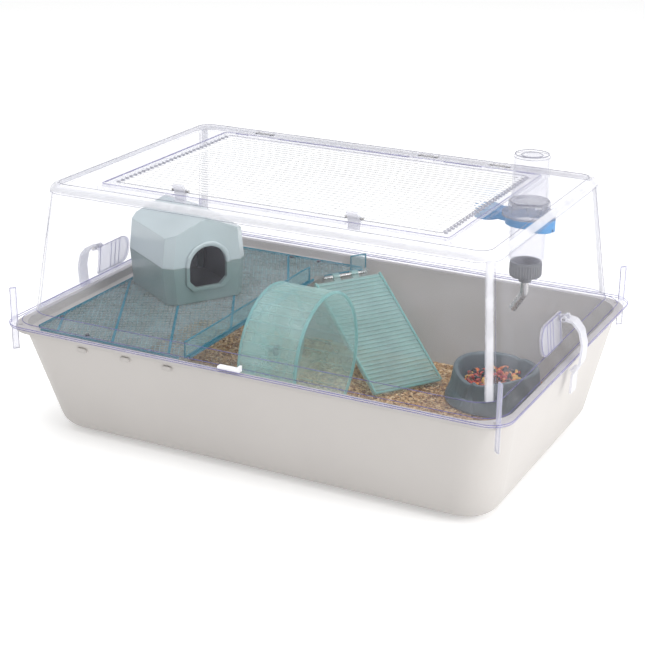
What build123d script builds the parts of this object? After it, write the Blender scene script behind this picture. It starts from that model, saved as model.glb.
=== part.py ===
"""Hamster cage: a moulded tub under a clear dome with a hinged wire-grid lid, fitted with a shelf, a ramp,
a running wheel, a two-part house, a food bowl and a drinking bottle that hangs through the roof.
Millimetres, +Z up, X along the long side, Y towards the back, origin on the ground under the centre."""

import os
from math import atan2, cos, degrees, radians, sin

from build123d import *

os.makedirs("parts", exist_ok=True)

# --- Overall sizes
LENGTH = 550.0
DEPTH = 390.0
HEIGHT = 270.0
RUN_FIT = 0.06  # radial clearance of a running fit
GAP = 0.3  # clearance between neighbouring bodies

# --- Tub
FOOT_H = 3.0
TUB_WALL = 2.5
TUB_RIM_TOP = 124.0
TUB_RIM_T = 4.0
TUB_WALL_TOP = TUB_RIM_TOP - TUB_RIM_T
TUB_TOP = (LENGTH - 14, DEPTH - 14)
TUB_BOTTOM = (LENGTH - 58, DEPTH - 86)
TUB_CORNER = 36.0
TUB_BOTTOM_ROUND = 22.0
RIM_SIZE = (LENGTH - 6, DEPTH - 6)
RIM_CORNER = 30.0
BEDDING_TOP = 28.0
LEDGE_TOP = 115.8
LEDGE_W = 12.0

# --- Dome
SHELL = 2.2
FLANGE_T = 3.0
FLANGE_BOTTOM = TUB_RIM_TOP + 0.3
FLANGE_TOP = FLANGE_BOTTOM + FLANGE_T
FLANGE_CORNER = 24.0
SKIRT_SIZE = (LENGTH - 18, DEPTH - 18)
WALL_FOOT = 137.0
WALL_FOOT_SIZE = (LENGTH - 38, DEPTH - 42)
ROOF_SIZE = (LENGTH - 66, DEPTH - 78)
DOME_CORNER = 26.0
ROOF_ROUND = 9.0
WALLS_TOP = HEIGHT - ROOF_ROUND - 1.0
LEG_TOP = 165.0
LEG_BOTTOM = 98.0
LEG_AT = (264.0, 184.0)
LEG_W = 7.0
LEG_T = 2.0

# --- Lid in the roof
LID_X = (-192.0, 187.0)
LID_Y = (-126.0, 124.0)
LID_T = 3.2
LID_TOP = HEIGHT + 0.2
LID_BAND = 13.0
LID_GAP = 0.9
LEDGE_IN = 5.0
WIRE_PITCH = 7.7
WIRE_W = 1.7
WIRE_MARGIN = 2.5
CROSSBAR_AT = (-66.0, 56.0)
HINGE_AT = (-143.0, 57.0, 139.0)
HINGE_Y = 127.2
HINGE_Z = HEIGHT + 2.4
KNUCKLE_R = 2.9
KNUCKLE_L = 13.0
LUG_L = 5.0
HINGE_PIN_R = 1.2
LATCH_AT = (-102.0, 88.0)
LATCH_W = 12.0
LATCH_Y = -118.5
LATCH_Z = HEIGHT + 2.6
LATCH_LUG_R = 2.4
LATCH_LUG_L = 3.0

# --- Side clips, one on each short end
CLIP_Y = -20.0
CLIP_PIVOT = (262.5, 167.0)  # x and z of the right clip's pin
CLIP_LEVER_W = 15.0
CLIP_PLATE_Y = (-34.0, 24.0)  # about CLIP_Y
CLIP_PLATE_Z = (138.5, 170.0)
CLIP_BAND_T = 2.4
CLIP_PIN_R = 1.3
CLIP_KNUCKLE_R = 2.8

# --- Shelf and its rails
SHELF_TOP = 118.2
SHELF_T = 2.2
SHELF_LEFT = -252.0
SHELF_RIGHT = -68.0
SHELF_FRONT = -170.0
SHELF_BACK = 172.0
RAIL_H = 18.0
RAIL_T = 1.8
RIB_W = 3.0
RIB_H = 0.8
RIB_ANGLE = -62.0
RIB_PITCH = 59.0
PEG_R = 2.2
PEG_AT = ((-244, -130), (-244, 150), (-225, 164), (-128, 164), (-92, 164), (-190, -162))

# --- Ramp
RAMP_ANGLE = -34.0  # compass direction of its fall, from +X
RAMP_TOP = (-45.0, 137.0)
RAMP_SLOPE = 31.6
RAMP_L = 165.0
RAMP_W = 86.0
RAMP_T = 2.4
RAMP_SIDE_H = 5.0
RAMP_RUNGS = 28
RAMP_ROD_R = 2.0
RAMP_ROD_Z = SHELF_TOP - 0.2
ROD_LUG_LOW = SHELF_TOP - 4.0
ROD_LUG_HIGH = SHELF_TOP + 3.0
ROD_LUG_AT = 24.0
RAMP_EYE_AT = 12.0

# --- Wheel
WHEEL_X = (-26.0, 40.0)
WHEEL_Y = -73.0
WHEEL_Z = 104.0
WHEEL_R = 69.5
WHEEL_RIM_R = 70.6
WHEEL_SHELL = 1.8
AXLE_R = 3.0
STAND_X = (-46.0, -39.0)

# --- House on the shelf
HOUSE_AT = (-179.0, 14.0)
HOUSE_TURN = 57.3
HOUSE_DEEP = 103.0
HOUSE_WALL = 2.2
HOUSE_FLOOR = SHELF_TOP + 1.2
HOUSE_SEAM = 41.0
HOUSE_EAVE = 74.0
HOUSE_RIDGE = 93.0
HOUSE_BEVEL = 9.0
DOOR_W = 44.0
DOOR_SILL = 17.0
DOOR_TOP = 62.0

# --- Food bowl
BOWL_AT = (162.0, 85.0)
BOWL_BASE_R = 54.0
BOWL_RIM_R = 45.5
BOWL_H = 38.0
BOWL_MOUTH_R = 40.0

# --- Drinking bottle
BOTTLE_AT = (210.5, 20.0)
BOTTLE_R = 18.0
BOTTLE_TOP = 319.0
BOTTLE_SHOULDER = 210.0
BOTTLE_WALL = 1.3
NECK_R = 12.6
NECK_BOTTOM = 200.0
CAP_R = 16.2
CAP_BOTTOM = 194.5
SPOUT_R = 4.0
SPOUT_BORE = 3.2
BALL_R = 3.13
SLEEVE_R = 20.6
COLLAR_Z = (249.0, 257.0)
COLLAR_LOBES = ((163.0, 33.0, 13.5), (226.0, 14.0, 13.5))
COLLAR_LOBE_LOW = 245.6
COLLAR_R = 23.0


def save(builder, name):
    builder.part.label = name
    export_step(builder.part, f"parts/{name}.step")


def slab(low, high, z_low, z_high, r_low, r_high):
    """A block that runs from one rounded rectangle to another."""
    with BuildPart() as body:
        with BuildSketch(Plane.XY.offset(z_low)):
            RectangleRounded(*low, r_low)
        with BuildSketch(Plane.XY.offset(z_high)):
            RectangleRounded(*high, r_high)
        loft()
    return body.part


def inset(size, by):
    return (size[0] - 2 * by, size[1] - 2 * by)


def rounded_tub(by):
    """The tub's bowl shape, inset by a distance from its outer skin, with a rounded bottom edge."""
    low = inset(TUB_BOTTOM, by)
    high = inset(TUB_TOP, by)
    z_low = FOOT_H + by
    z_high = TUB_WALL_TOP if by == 0 else TUB_RIM_TOP + 1
    solid = slab(low, high, z_low, z_high, TUB_CORNER - by, TUB_CORNER + 4 - by)
    with BuildPart() as body:
        add(solid)
        fillet(body.edges().group_by(Axis.Z)[0], TUB_BOTTOM_ROUND - by)
    return body.part


def corner_slots(width, length, z_low, z_high):
    """Four upright slots across the corners, where the dome's legs pass."""
    with BuildPart() as body:
        for sx in (-1, 1):
            for sy in (-1, 1):
                with BuildSketch(Plane.XY.offset(z_low)):
                    with Locations(Location((sx * LEG_AT[0], sy * LEG_AT[1], 0), (0, 0, 45 * sx * sy))):
                        Rectangle(length, width)
        extrude(amount=z_high - z_low)
    return body.part


def make_tub():
    outer = rounded_tub(0)
    cavity = rounded_tub(TUB_WALL)
    slots = corner_slots(LEG_T + 1.0, LEG_W + 9.0, TUB_WALL_TOP - 4, TUB_RIM_TOP + 1)
    ledge_hole = inset(TUB_TOP, TUB_WALL + LEDGE_W)
    with BuildPart() as tub:
        add(outer)
        with BuildSketch(Plane.XY.offset(TUB_WALL_TOP)):
            RectangleRounded(*RIM_SIZE, RIM_CORNER)
        extrude(amount=TUB_RIM_T)
        fillet(tub.edges().group_by(Axis.Z)[-1], 1.2)
        with BuildSketch(Plane.XY):
            RectangleRounded(*inset(TUB_BOTTOM, 26), TUB_CORNER - 16)
            RectangleRounded(*inset(TUB_BOTTOM, 32), TUB_CORNER - 22, mode=Mode.SUBTRACT)
        extrude(amount=FOOT_H + 0.5)
        add(cavity, mode=Mode.SUBTRACT)
        with BuildSketch(Plane.XY.offset(LEDGE_TOP - 2.5)):
            with Locations((-TUB_TOP[0] / 4 - 35, 0)):
                Rectangle(TUB_TOP[0] / 2 - 70, TUB_TOP[1] - 4)
            RectangleRounded(*inset(TUB_TOP, 2), TUB_CORNER + 2, mode=Mode.INTERSECT)
            RectangleRounded(*ledge_hole, TUB_CORNER - 8, mode=Mode.SUBTRACT)
        extrude(amount=2.5)
        for x in (-179, -128, -79):
            with BuildSketch(Plane.XZ.offset(TUB_TOP[1] / 2 - 3.5)):
                with Locations((x, 113)):
                    SlotOverall(11, 5)
            extrude(amount=3.5)
        add(slots, mode=Mode.SUBTRACT)
    save(tub, "tub")


def make_bedding():
    cavity = rounded_tub(TUB_WALL)
    with BuildPart() as bedding:
        add(cavity)
        with BuildSketch(Plane.XY.offset(BEDDING_TOP)):
            Rectangle(LENGTH, DEPTH)
        extrude(amount=HEIGHT, mode=Mode.SUBTRACT)
    save(bedding, "bedding")


def dome_lean(by):
    """The dome's sloping walls and its roof as one block, inset by a distance from the outer skin."""
    middle = inset(WALL_FOOT_SIZE, by)
    high = inset(ROOF_SIZE, by)
    lean = slab(middle, high, WALL_FOOT, HEIGHT - by, DOME_CORNER - by, DOME_CORNER - 4 - by)
    with BuildPart() as body:
        add(lean)
        fillet(body.edges().group_by(Axis.Z)[-1], ROOF_ROUND - by)
    return body.part


def dome_skirt(by):
    """The band between the flange and the foot of the walls, inset by a distance."""
    bottom = FLANGE_BOTTOM - (1 if by else 0)
    low = inset(SKIRT_SIZE, by)
    middle = inset(WALL_FOOT_SIZE, by)
    return slab(low, middle, bottom, WALL_FOOT, DOME_CORNER + 4 - by, DOME_CORNER - by)


def lid_outline(by, radius=5):
    """Rectangle of the lid, grown by a distance on every side, for use inside a sketch."""
    with Locations(((LID_X[0] + LID_X[1]) / 2, (LID_Y[0] + LID_Y[1]) / 2)):
        RectangleRounded(LID_X[1] - LID_X[0] + 2 * by, LID_Y[1] - LID_Y[0] + 2 * by, radius)


def make_dome_flange():
    """The flange on the tub's rim and the skirt that rises from it to the foot of the walls."""
    outer = dome_skirt(0)
    cavity = dome_skirt(SHELL)
    slots = corner_slots(LEG_T, LEG_W, FLANGE_BOTTOM - 1, LEG_TOP + 1)
    with BuildPart() as flange:
        add(outer)
        with BuildSketch(Plane.XY.offset(FLANGE_BOTTOM)):
            RectangleRounded(LENGTH, DEPTH, FLANGE_CORNER)
        extrude(amount=FLANGE_T)
        fillet(flange.edges().group_by(Axis.Z)[0], 0.8)
        add(cavity, mode=Mode.SUBTRACT)
        add(slots, mode=Mode.SUBTRACT)
    save(flange, "dome_flange")


def make_dome_walls():
    """The four sloping walls, from the skirt up to where the edge of the roof starts to round."""
    outer = dome_lean(0)
    cavity = dome_lean(SHELL)
    with BuildPart() as walls:
        add(outer)
        add(cavity, mode=Mode.SUBTRACT)
        with BuildSketch(Plane.XY.offset(WALLS_TOP)):
            Rectangle(LENGTH, DEPTH)
        extrude(amount=40, mode=Mode.SUBTRACT)
    save(walls, "dome_walls")


def make_dome_roof():
    """The roof with its rounded edge, the lid's opening and ledge, the hinge lugs and the bottle's hole."""
    outer = dome_lean(0)
    cavity = dome_lean(SHELL)
    with BuildPart() as roof:
        add(outer)
        add(cavity, mode=Mode.SUBTRACT)
        with BuildSketch(Plane.XY.offset(WALL_FOOT - 1)):
            Rectangle(LENGTH, DEPTH)
        extrude(amount=WALLS_TOP - WALL_FOOT + 1, mode=Mode.SUBTRACT)
        with BuildSketch(Plane.XY.offset(LID_TOP - LID_T - GAP - 2.4)):
            lid_outline(LID_GAP + 3)
        extrude(amount=LID_T + GAP + 2.2)
        with BuildSketch(Plane.XY.offset(LID_TOP - LID_T - GAP)):
            lid_outline(LID_GAP)
        extrude(amount=20, mode=Mode.SUBTRACT)
        with BuildSketch(Plane.XY.offset(LID_TOP - 30)):
            lid_outline(-LEDGE_IN)
        extrude(amount=40, mode=Mode.SUBTRACT)
        for x in HINGE_AT:
            with BuildSketch(Plane.YZ.offset(x - KNUCKLE_L / 2 - LUG_L - 0.4)):
                with Locations((HINGE_Y, HINGE_Z)):
                    Circle(KNUCKLE_R)
                with Locations((HINGE_Y, HINGE_Z - KNUCKLE_R / 2 - 0.5)):
                    Rectangle(2 * KNUCKLE_R, KNUCKLE_R + 1)
            extrude(amount=KNUCKLE_L + 2 * LUG_L + 0.8)
            with BuildSketch(Plane.XY.offset(HEIGHT - 8)):
                with Locations((x, HINGE_Y)):
                    Rectangle(KNUCKLE_L + 0.8, 2 * KNUCKLE_R + 1.2)
            extrude(amount=20, mode=Mode.SUBTRACT)
        with BuildSketch(Plane.YZ.offset(LID_X[0])):
            with Locations((HINGE_Y, HINGE_Z)):
                Circle(HINGE_PIN_R)
        extrude(amount=LID_X[1] - LID_X[0], mode=Mode.SUBTRACT)
        with BuildSketch(Plane.XY.offset(HEIGHT - 10)):
            with Locations(BOTTLE_AT):
                Circle(SLEEVE_R)
        extrude(amount=20, mode=Mode.SUBTRACT)
    save(roof, "dome_roof")


def make_corner_legs():
    """Four upright tongues that stand on the flange and reach down through the tub's rim."""
    legs_solid = corner_slots(LEG_T, LEG_W, LEG_BOTTOM, LEG_TOP)
    with BuildPart() as legs:
        add(legs_solid)
    save(legs, "corner_legs")


def make_front_catch():
    """The small white snap on the middle of the front flange."""
    with BuildPart() as catch:
        with BuildSketch(Plane.XY.offset(FLANGE_TOP)):
            with Locations((-6, -DEPTH / 2 + 4)):
                Rectangle(24, 6)
        extrude(amount=3)
        fillet(catch.edges().group_by(Axis.Z)[-1], 1)
        with BuildSketch(Plane.XY.offset(FLANGE_TOP)):
            with Locations((5, -DEPTH / 2 + 4)):
                Rectangle(2, 6)
        extrude(amount=5.5)
    save(catch, "front_catch")


def make_lid_frame():
    bottom = LID_TOP - LID_T
    with BuildPart() as frame:
        with BuildSketch(Plane.XY.offset(bottom)):
            lid_outline(0)
        extrude(amount=LID_T)
        with BuildSketch(Plane.XY.offset(bottom - 1)):
            lid_outline(-LID_BAND, radius=WIRE_MARGIN)
        extrude(amount=LID_T + 2, mode=Mode.SUBTRACT)
        for x in HINGE_AT:
            with BuildSketch(Plane.YZ.offset(x - KNUCKLE_L / 2)):
                with Locations((HINGE_Y, HINGE_Z)):
                    Circle(KNUCKLE_R)
                with BuildLine():
                    Polyline(
                        (HINGE_Y, HINGE_Z + KNUCKLE_R),
                        (LID_Y[1] - 6, LID_TOP),
                        (LID_Y[1] - 6, bottom),
                        (LID_Y[1], bottom),
                        (HINGE_Y, HINGE_Z - KNUCKLE_R),
                        close=True,
                    )
                make_face()
                with Locations((HINGE_Y, HINGE_Z)):
                    Circle(HINGE_PIN_R + RUN_FIT, mode=Mode.SUBTRACT)
            extrude(amount=KNUCKLE_L)
        for x in LATCH_AT:
            with BuildSketch(Plane.XY.offset(bottom - 1)):
                with Locations((x, LID_Y[0] + 6)):
                    Rectangle(LATCH_W + 1, 11)
            extrude(amount=LID_T + 2, mode=Mode.SUBTRACT)
            for lug_x in (x - LATCH_W / 2 - LATCH_LUG_L - 0.5, x + LATCH_W / 2 + 0.5):
                with BuildSketch(Plane.YZ.offset(lug_x)):
                    with Locations((LATCH_Y, LATCH_Z)):
                        Circle(LATCH_LUG_R)
                    with Locations((LATCH_Y, LATCH_Z - 1.6)):
                        Rectangle(2 * LATCH_LUG_R, 3.2)
                    with Locations((LATCH_Y, LATCH_Z)):
                        Circle(HINGE_PIN_R, mode=Mode.SUBTRACT)
                extrude(amount=LATCH_LUG_L)
    save(frame, "lid_frame")


def make_lid_grid():
    """White wires along X welded to four crossbars, seated inside the frame."""
    low_x = LID_X[0] + LID_BAND
    high_x = LID_X[1] - LID_BAND
    low_y = LID_Y[0] + LID_BAND
    high_y = LID_Y[1] - LID_BAND
    wires = int((high_y - low_y - 2 * WIRE_MARGIN) / WIRE_PITCH) + 1
    middle = ((low_x + high_x) / 2, (low_y + high_y) / 2)
    with BuildPart() as grid:
        with BuildSketch(Plane.XY.offset(LID_TOP - LID_T + 0.6)):
            with Locations(middle):
                with GridLocations(0, WIRE_PITCH, 1, wires):
                    Rectangle(high_x - low_x, WIRE_W)
            for x in (low_x + 6, *CROSSBAR_AT, high_x - 6):
                with Locations((x, middle[1])):
                    Rectangle(WIRE_W, high_y - low_y)
        extrude(amount=WIRE_W)
    save(grid, "lid_grid")


def make_hinge_pins():
    with BuildPart() as pins:
        for x in HINGE_AT:
            with BuildSketch(Plane.YZ.offset(x - KNUCKLE_L / 2 - LUG_L)):
                with Locations((HINGE_Y, HINGE_Z)):
                    Circle(HINGE_PIN_R)
            extrude(amount=KNUCKLE_L + 2 * LUG_L)
    save(pins, "lid_hinge_pins")


def make_latches():
    """Two snap levers on the lid's front edge, each on its own pin."""
    arm_y = LID_Y[0] + LEDGE_IN + 0.5
    ledge_bottom = LID_TOP - LID_T - GAP - 2.4
    for name, x in zip(("left", "right"), LATCH_AT):
        with BuildPart() as latch:
            with BuildSketch(Plane.YZ.offset(x - LATCH_W / 2)):
                with BuildLine():
                    Polyline(
                        (LATCH_Y - 2.3, LATCH_Z),
                        (LATCH_Y - 6.5, LATCH_Z + 6.2),
                        (LATCH_Y - 4.4, LATCH_Z + 7.4),
                        (LATCH_Y + 2.3, LATCH_Z),
                        (LATCH_Y + 1.2, LATCH_Z - 2),
                        (LATCH_Y, ledge_bottom - 2.6),
                        (arm_y, ledge_bottom - 2.6),
                        (arm_y - 0.1, ledge_bottom - 0.9),
                        (arm_y + 1.0, ledge_bottom - 0.9),
                        close=True,
                    )
                make_face()
                with Locations((LATCH_Y, LATCH_Z)):
                    Circle(2.3)
                    Circle(HINGE_PIN_R + RUN_FIT, mode=Mode.SUBTRACT)
            extrude(amount=LATCH_W)
        save(latch, f"lid_latch_{name}")
    with BuildPart() as pins:
        for x in LATCH_AT:
            with BuildSketch(Plane.YZ.offset(x - LATCH_W / 2 - 3.5)):
                with Locations((LATCH_Y, LATCH_Z)):
                    Circle(HINGE_PIN_R)
            extrude(amount=LATCH_W + 7)
    save(pins, "lid_latch_pins")


def wall_x(z):
    """The dome's outer face on the right-hand side, at a height."""
    share = (z - WALL_FOOT) / (HEIGHT - WALL_FOOT)
    return (WALL_FOOT_SIZE[0] + (ROOF_SIZE[0] - WALL_FOOT_SIZE[0]) * share) / 2


def turned(builder, side):
    """The right-hand part, or the same part turned half a circle about the cage's upright axis."""
    with BuildPart() as placed:
        if side > 0:
            add(builder.part)
        else:
            add(builder.part.rotate(Axis.Z, 180).moved(Location((0, 2 * CLIP_Y, 0))))
    return placed


def make_side_clips():
    """A clear plate on the dome's wall carries a C-shaped lever that snaps under the tub's rim."""
    px, pz = CLIP_PIVOT
    z_low, z_high = CLIP_PLATE_Z
    y_low = CLIP_Y + CLIP_PLATE_Y[0]
    y_high = CLIP_Y + CLIP_PLATE_Y[1]
    lever_y = y_high - CLIP_LEVER_W
    middle_y = lever_y + CLIP_LEVER_W / 2
    with BuildPart() as plate:
        with BuildSketch(Plane.XZ.offset(-y_high)):
            with BuildLine():
                Polyline(
                    (wall_x(z_low) + 0.02, z_low),
                    (wall_x(z_low) + 2.6, z_low),
                    (wall_x(z_high) + 2.6, z_high),
                    (wall_x(z_high) + 0.02, z_high),
                    close=True,
                )
            make_face()
        extrude(amount=y_high - y_low)
        edges = plate.edges().filter_by(Axis.X, tolerance=1).group_by(Axis.Y)
        fillet(edges[0], (z_high - z_low) / 2 - 2)
        with BuildSketch(Plane.XZ.offset(-middle_y - 3)):
            with Locations((px, pz)):
                Circle(CLIP_KNUCKLE_R)
            with BuildLine():
                Polyline(
                    (px, pz + CLIP_KNUCKLE_R),
                    (wall_x(pz) + 1, pz + 2),
                    (wall_x(pz) + 1, pz - 4),
                    (px, pz - CLIP_KNUCKLE_R),
                    close=True,
                )
            make_face()
            with Locations((px, pz)):
                Circle(CLIP_PIN_R + RUN_FIT, mode=Mode.SUBTRACT)
        extrude(amount=6)
    with BuildPart() as lever:
        with BuildSketch(Plane.XZ.offset(-y_high)):
            with BuildLine():
                FilletPolyline(
                    (px, pz),
                    (272, 165.5),
                    (279.4, 157),
                    (282.9, 143),
                    (281.8, 125),
                    (274.8, 112),
                    (274.2, 92),
                    radius=6,
                )
            trace(line_width=CLIP_BAND_T)
            with BuildLine():
                Polyline((277.5, 114), (272.5, 115.2), (272.5, 117), (279, 118.6), close=True)
            make_face()
            with Locations((px, pz)):
                Circle(CLIP_KNUCKLE_R)
                Circle(CLIP_PIN_R, mode=Mode.SUBTRACT)
        extrude(amount=CLIP_LEVER_W)
        with BuildSketch(Plane.XZ.offset(-middle_y - 3.3)):
            with Locations((px, pz)):
                Circle(4)
        extrude(amount=6.6, mode=Mode.SUBTRACT)
    with BuildPart() as pin:
        with BuildSketch(Plane.XZ.offset(-y_high)):
            with Locations((px, pz)):
                Circle(CLIP_PIN_R)
        extrude(amount=CLIP_LEVER_W)
    for name, side in (("right", 1), ("left", -1)):
        save(turned(plate, side), f"clip_plate_{name}")
        save(turned(lever, side), f"clip_lever_{name}")
        save(turned(pin, side), f"clip_pin_{name}")


def ramp_frame():
    """Unit vectors down the ramp's fall and along its top edge."""
    turn = radians(RAMP_ANGLE)
    return (cos(turn), sin(turn)), (-sin(turn), cos(turn))


def edge_point(y):
    """Where the shelf's slanted edge crosses a given Y, 7 mm behind the ramp's top."""
    fall, along = ramp_frame()
    start = (RAMP_TOP[0] - 7 * fall[0], RAMP_TOP[1] - 7 * fall[1])
    steps = (y - start[1]) / along[1]
    return (start[0] + steps * along[0], y)


def shelf_corner():
    """Where the slanted edge meets the straight right-hand edge."""
    along = ramp_frame()[1]
    start = edge_point(0)
    return (SHELF_RIGHT, (SHELF_RIGHT - start[0]) / along[0] * along[1])


def make_shelf_plate():
    fall, along = ramp_frame()
    corner = shelf_corner()
    back = edge_point(SHELF_BACK)
    rod_x, rod_y = RAMP_TOP
    turn = degrees(atan2(along[1], along[0]))
    with BuildPart() as shelf:
        with BuildSketch(Plane.XY.offset(SHELF_TOP - SHELF_T)) as outline:
            with BuildLine():
                Polyline(
                    (SHELF_LEFT, SHELF_FRONT),
                    (SHELF_RIGHT, SHELF_FRONT),
                    corner,
                    back,
                    (SHELF_LEFT, SHELF_BACK),
                    close=True,
                )
            make_face()
            fillet(outline.vertices().sort_by_distance(corner)[0], 24)
            fillet(outline.vertices().sort_by_distance((SHELF_LEFT, SHELF_FRONT))[0], 24)
            fillet(outline.vertices().sort_by_distance((SHELF_LEFT, SHELF_BACK))[0], 24)
        extrude(amount=SHELF_T)
        with BuildSketch(Plane.XY.offset(SHELF_TOP)):
            with Locations(Location((-168, -20, 0), (0, 0, RIB_ANGLE))):
                with GridLocations(0, RIB_PITCH, 1, 5):
                    Rectangle(620, RIB_W)
            with BuildLine():
                Polyline(
                    (SHELF_LEFT + 6, SHELF_FRONT + 6),
                    (SHELF_RIGHT - 6, SHELF_FRONT + 6),
                    (corner[0] - 6, corner[1] - 3),
                    (back[0] - 8, SHELF_BACK - 6),
                    (SHELF_LEFT + 6, SHELF_BACK - 6),
                    close=True,
                )
            make_face(mode=Mode.INTERSECT)
            with Locations(Location((*HOUSE_AT, 0), (0, 0, HOUSE_TURN))):
                Rectangle(104, HOUSE_DEEP + 6, mode=Mode.SUBTRACT)
            with Locations(*PEG_AT):
                Circle(PEG_R, mode=Mode.SUBTRACT)
        extrude(amount=RIB_H)
        for shift in (-ROD_LUG_AT, ROD_LUG_AT):
            spot = (rod_x + shift * along[0] - 2 * fall[0], rod_y + shift * along[1] - 2 * fall[1])
            with BuildSketch(Plane.XY.offset(ROD_LUG_LOW)):
                with Locations(Location((*spot, 0), (0, 0, turn))):
                    Rectangle(7, 13)
            extrude(amount=ROD_LUG_HIGH - ROD_LUG_LOW)
        with BuildSketch(Plane((rod_x, rod_y, RAMP_ROD_Z), x_dir=(0, 0, 1), z_dir=(*along, 0))):
            Circle(RAMP_ROD_R)
        extrude(amount=ROD_LUG_AT + 10, both=True, mode=Mode.SUBTRACT)
    save(shelf, "shelf_plate")
    with BuildPart() as rod:
        with BuildSketch(Plane((rod_x, rod_y, RAMP_ROD_Z), x_dir=(0, 0, 1), z_dir=(*along, 0))):
            Circle(RAMP_ROD_R)
        extrude(amount=27.5, both=True)
    save(rod, "ramp_rod")


def make_shelf_rails():
    """Two upright guards: one along the open side, a short one beside the ramp."""
    fall, along = ramp_frame()
    corner = shelf_corner()
    x = SHELF_RIGHT - 1.5
    with BuildPart() as side:
        with BuildSketch(Plane.YZ.offset(x - RAIL_T)):
            with BuildLine():
                Polyline(
                    (SHELF_FRONT + 2, SHELF_TOP),
                    (SHELF_FRONT + 2, SHELF_TOP + RAIL_H),
                    (corner[1] - 34, SHELF_TOP + RAIL_H),
                    (corner[1] - 16, SHELF_TOP + RAIL_H - 1),
                    (corner[1] - 16, SHELF_TOP),
                    close=True,
                )
            make_face()
        extrude(amount=RAIL_T)
    save(side, "shelf_rail_side")
    start = edge_point(SHELF_BACK)
    turn = degrees(atan2(along[1], along[0]))
    middle = (start[0] - 14 * along[0] - 3 * fall[0], start[1] - 14 * along[1] - 3 * fall[1])
    with BuildPart() as back:
        with BuildSketch(Plane.XY.offset(SHELF_TOP)):
            with Locations(Location((*middle, 0), (0, 0, turn))):
                Rectangle(21, RAIL_T)
        extrude(amount=RAIL_H)
    save(back, "shelf_rail_back")


def make_shelf_pegs():
    """Snap pegs along the shelf's edges that hold it to the tub's ledge."""
    with BuildPart() as pegs:
        with BuildSketch(Plane.XY.offset(SHELF_TOP)):
            with Locations(*PEG_AT):
                Circle(PEG_R)
        extrude(amount=1.6)
    save(pegs, "shelf_pegs")


def ramp_plane(along_shift=0.0):
    """Local frame at the rod: X down the slope, Y along the rod, Z square to the ramp's face."""
    fall, along = ramp_frame()
    slope = radians(RAMP_SLOPE)
    down = (fall[0] * cos(slope), fall[1] * cos(slope), -sin(slope))
    normal = (fall[0] * sin(slope), fall[1] * sin(slope), cos(slope))
    origin = (RAMP_TOP[0] + along_shift * along[0], RAMP_TOP[1] + along_shift * along[1], RAMP_ROD_Z)
    return Plane(origin, x_dir=down, z_dir=normal)


def make_ramp():
    face = ramp_plane()
    start = 7.0
    pitch = (RAMP_L - start - 8) / (RAMP_RUNGS - 1)
    with BuildPart() as ramp:
        with BuildSketch(face.offset(-1.2)):
            with Locations((start + (RAMP_L - start) / 2, 0)):
                Rectangle(RAMP_L - start, RAMP_W)
        extrude(amount=RAMP_T)
        with BuildSketch(face.offset(-1.2)):
            for side in (-1, 1):
                with Locations((start + (RAMP_L - start) / 2, side * (RAMP_W - 2.4) / 2)):
                    Rectangle(RAMP_L - start, 2.4)
        extrude(amount=RAMP_SIDE_H)
        with BuildSketch(face.offset(RAMP_T - 1.2)):
            for rung in range(RAMP_RUNGS):
                with Locations((start + 4 + rung * pitch, 0)):
                    Rectangle(1.8, RAMP_W - 3)
        extrude(amount=1.4)
        for shift in (-RAMP_EYE_AT, RAMP_EYE_AT):
            eye = ramp_plane(shift)
            side_face = Plane(eye.origin, x_dir=eye.x_dir, z_dir=-eye.y_dir)
            with BuildSketch(side_face.offset(-4)):
                Circle(3.8)
                with Locations((5.5, 0)):
                    Rectangle(9, RAMP_T)
                Circle(RAMP_ROD_R + RUN_FIT, mode=Mode.SUBTRACT)
            extrude(amount=8)
    save(ramp, "ramp")


def make_wheel():
    x_low, x_high = WHEEL_X
    axis_plane = Plane((x_low, WHEEL_Y, WHEEL_Z), x_dir=(0, 1, 0), z_dir=(1, 0, 0))
    with BuildPart() as drum:
        with BuildSketch(axis_plane):
            Circle(WHEEL_R)
        extrude(amount=x_high - x_low)
        for start in (0, x_high - x_low - 3):
            with BuildSketch(axis_plane.offset(start)):
                Circle(WHEEL_RIM_R)
            extrude(amount=3)
        with BuildSketch(axis_plane.offset(2)):
            Circle(WHEEL_R - WHEEL_SHELL)
        extrude(amount=x_high - x_low, mode=Mode.SUBTRACT)
        with BuildSketch(axis_plane.offset(-1)):
            Circle(9)
        extrude(amount=4, mode=Mode.SUBTRACT)
    save(drum, "wheel_drum")
    with BuildPart() as hub:
        with BuildSketch(axis_plane.offset(-9)):
            Circle(9)
            Circle(AXLE_R + RUN_FIT, mode=Mode.SUBTRACT)
        extrude(amount=14)
    save(hub, "wheel_hub")
    with BuildPart() as cap:
        with BuildSketch(axis_plane.offset(5.4)):
            Circle(6)
            Circle(AXLE_R, mode=Mode.SUBTRACT)
        extrude(amount=3)
        fillet(cap.edges().group_by(Axis.X)[-1].sort_by(SortBy.RADIUS)[-1], 1)
    save(cap, "axle_cap")
    with BuildPart() as axle:
        with BuildSketch(axis_plane.offset(STAND_X[0] - x_low)):
            Circle(AXLE_R)
        extrude(amount=x_low - STAND_X[0] + 8.4)
    save(axle, "wheel_axle")


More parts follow.
